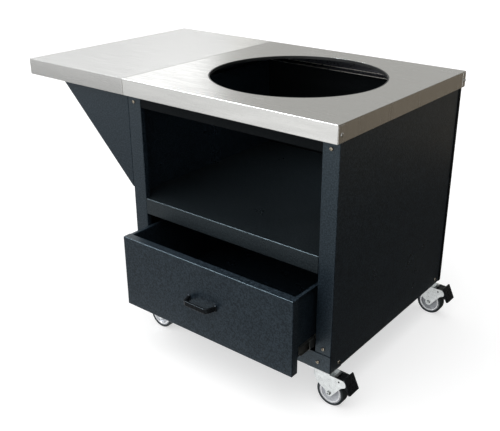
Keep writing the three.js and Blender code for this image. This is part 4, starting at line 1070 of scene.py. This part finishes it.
def domed_head(centre, way, radius, height, socket):
    """A domed bolt head on a surface. socket is the width across its hexagon socket's flats, or zero
    for a rivet, whose head has a small round dimple."""
    spot = WAYS[way]
    turns = [2 * math.pi * step / HEAD_STEPS for step in range(HEAD_STEPS)]

    def ring(ring_radius, up):
        return [spot(centre, ring_radius * math.cos(t), ring_radius * math.sin(t), up) for t in turns]

    def hexagon(half_width, up):
        loop = []
        for t in turns:
            reach = half_width / math.cos((t + math.pi / 6) % (math.pi / 3) - math.pi / 6)
            loop.append(spot(centre, reach * math.cos(t), reach * math.sin(t), up))
        return loop

    flat_radius, rim_height = radius * HEAD_FLAT_SHARE, height * HEAD_RIM_SHARE
    loops = [ring(radius * HEAD_FOOT_SHARE, 0), ring(radius, rim_height)]
    for step in range(1, HEAD_DOME_STEPS + 1):
        a = math.radians(90 * step / HEAD_DOME_STEPS)
        loops.append(ring(flat_radius + (radius - flat_radius) * math.cos(a),
                          rim_height + (height - rim_height) * math.sin(a)))
    if socket:
        loops += [hexagon(socket / 2 + CUT_EDGE, height), hexagon(socket / 2, height - CUT_EDGE),
                  hexagon(socket / 2, height * (1 - SOCKET_DEPTH_SHARE))]
    else:
        loops += [ring(radius * across, height * up) for across, up in DIMPLE]
    return skin(loops, False)


for corner in CORNERS:
    low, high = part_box(f"{corner}_caster_axle")
    fork_low, fork_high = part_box(f"{corner}_caster_fork")
    axle_middle = (low + high) / 2
    head_radius, head_height = (high.x - low.x) / 2, fork_low.y - low.y - AXLE_HEAD_GAP
    for way, face in (("front", fork_low.y), ("rear", fork_high.y)):
        centre = Vector((axle_middle.x, face, axle_middle.z))
        head = domed_head(centre, way, head_radius, head_height, AXLE_SOCKET)
        add_piece(f"{corner}_axle_{way}_head", head, BRIGHT_ZINC, f"{corner}_swivel",
                  crease=40)
    front, rear = fork_low.y - axle_middle.y, fork_high.y - axle_middle.y
    shaft_outer = BORE_RADIUS - SHAFT_GAP
    shaft_profile = rounded([(SHAFT_INNER, front), (shaft_outer, front),
                             (shaft_outer, rear), (SHAFT_INNER, rear)], SHAFT_ROUND, 2)
    shaft = turned(shaft_profile, HEAD_STEPS, axle_middle, "Y")
    add_piece(f"{corner}_axle_shaft", shaft, BRIGHT_ZINC, f"{corner}_swivel",
              [f"{corner}_caster_axle"])

# Bolts and rivets: button-head bolts with hexagon sockets, yellow zinc-plated, hold the posts, the base
# rail and the right side. Plain stainless rivets hold the corner tabs.
YELLOW_ZINC_COLOUR = (0.46, 0.42, 0.35)
YELLOW_ZINC_ROUGHNESS = (0.25, 0.15)
BOLT_SOCKET = 0.0048
HEAD_PROUD = 0.0035

YELLOW_ZINC = zinc_plate("yellow_zinc", YELLOW_ZINC_COLOUR, YELLOW_ZINC_ROUGHNESS)
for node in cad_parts:
    rivet = node.endswith("_rivet")
    if not (rivet or node.endswith("_bolt")):
        continue
    low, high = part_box(node)
    middle = (low + high) / 2
    way = "front" if high.x - low.x > high.y - low.y else "right"
    proud = HEAD_PROUD - TAB_PROUD if rivet else HEAD_PROUD
    if way == "front":
        centre = Vector((middle.x, low.y + proud, middle.z))
    else:
        centre = Vector((high.x - proud, middle.y, middle.z))
    head = domed_head(centre, way, (high.z - low.z) / 2, proud, 0 if rivet else BOLT_SOCKET)
    steel, slot = (STAINLESS, "rivet_stainless") if rivet else (YELLOW_ZINC, "zinc_plate")
    add_piece(f"{node}_head", head, steel, "cabinet", [node], 40)
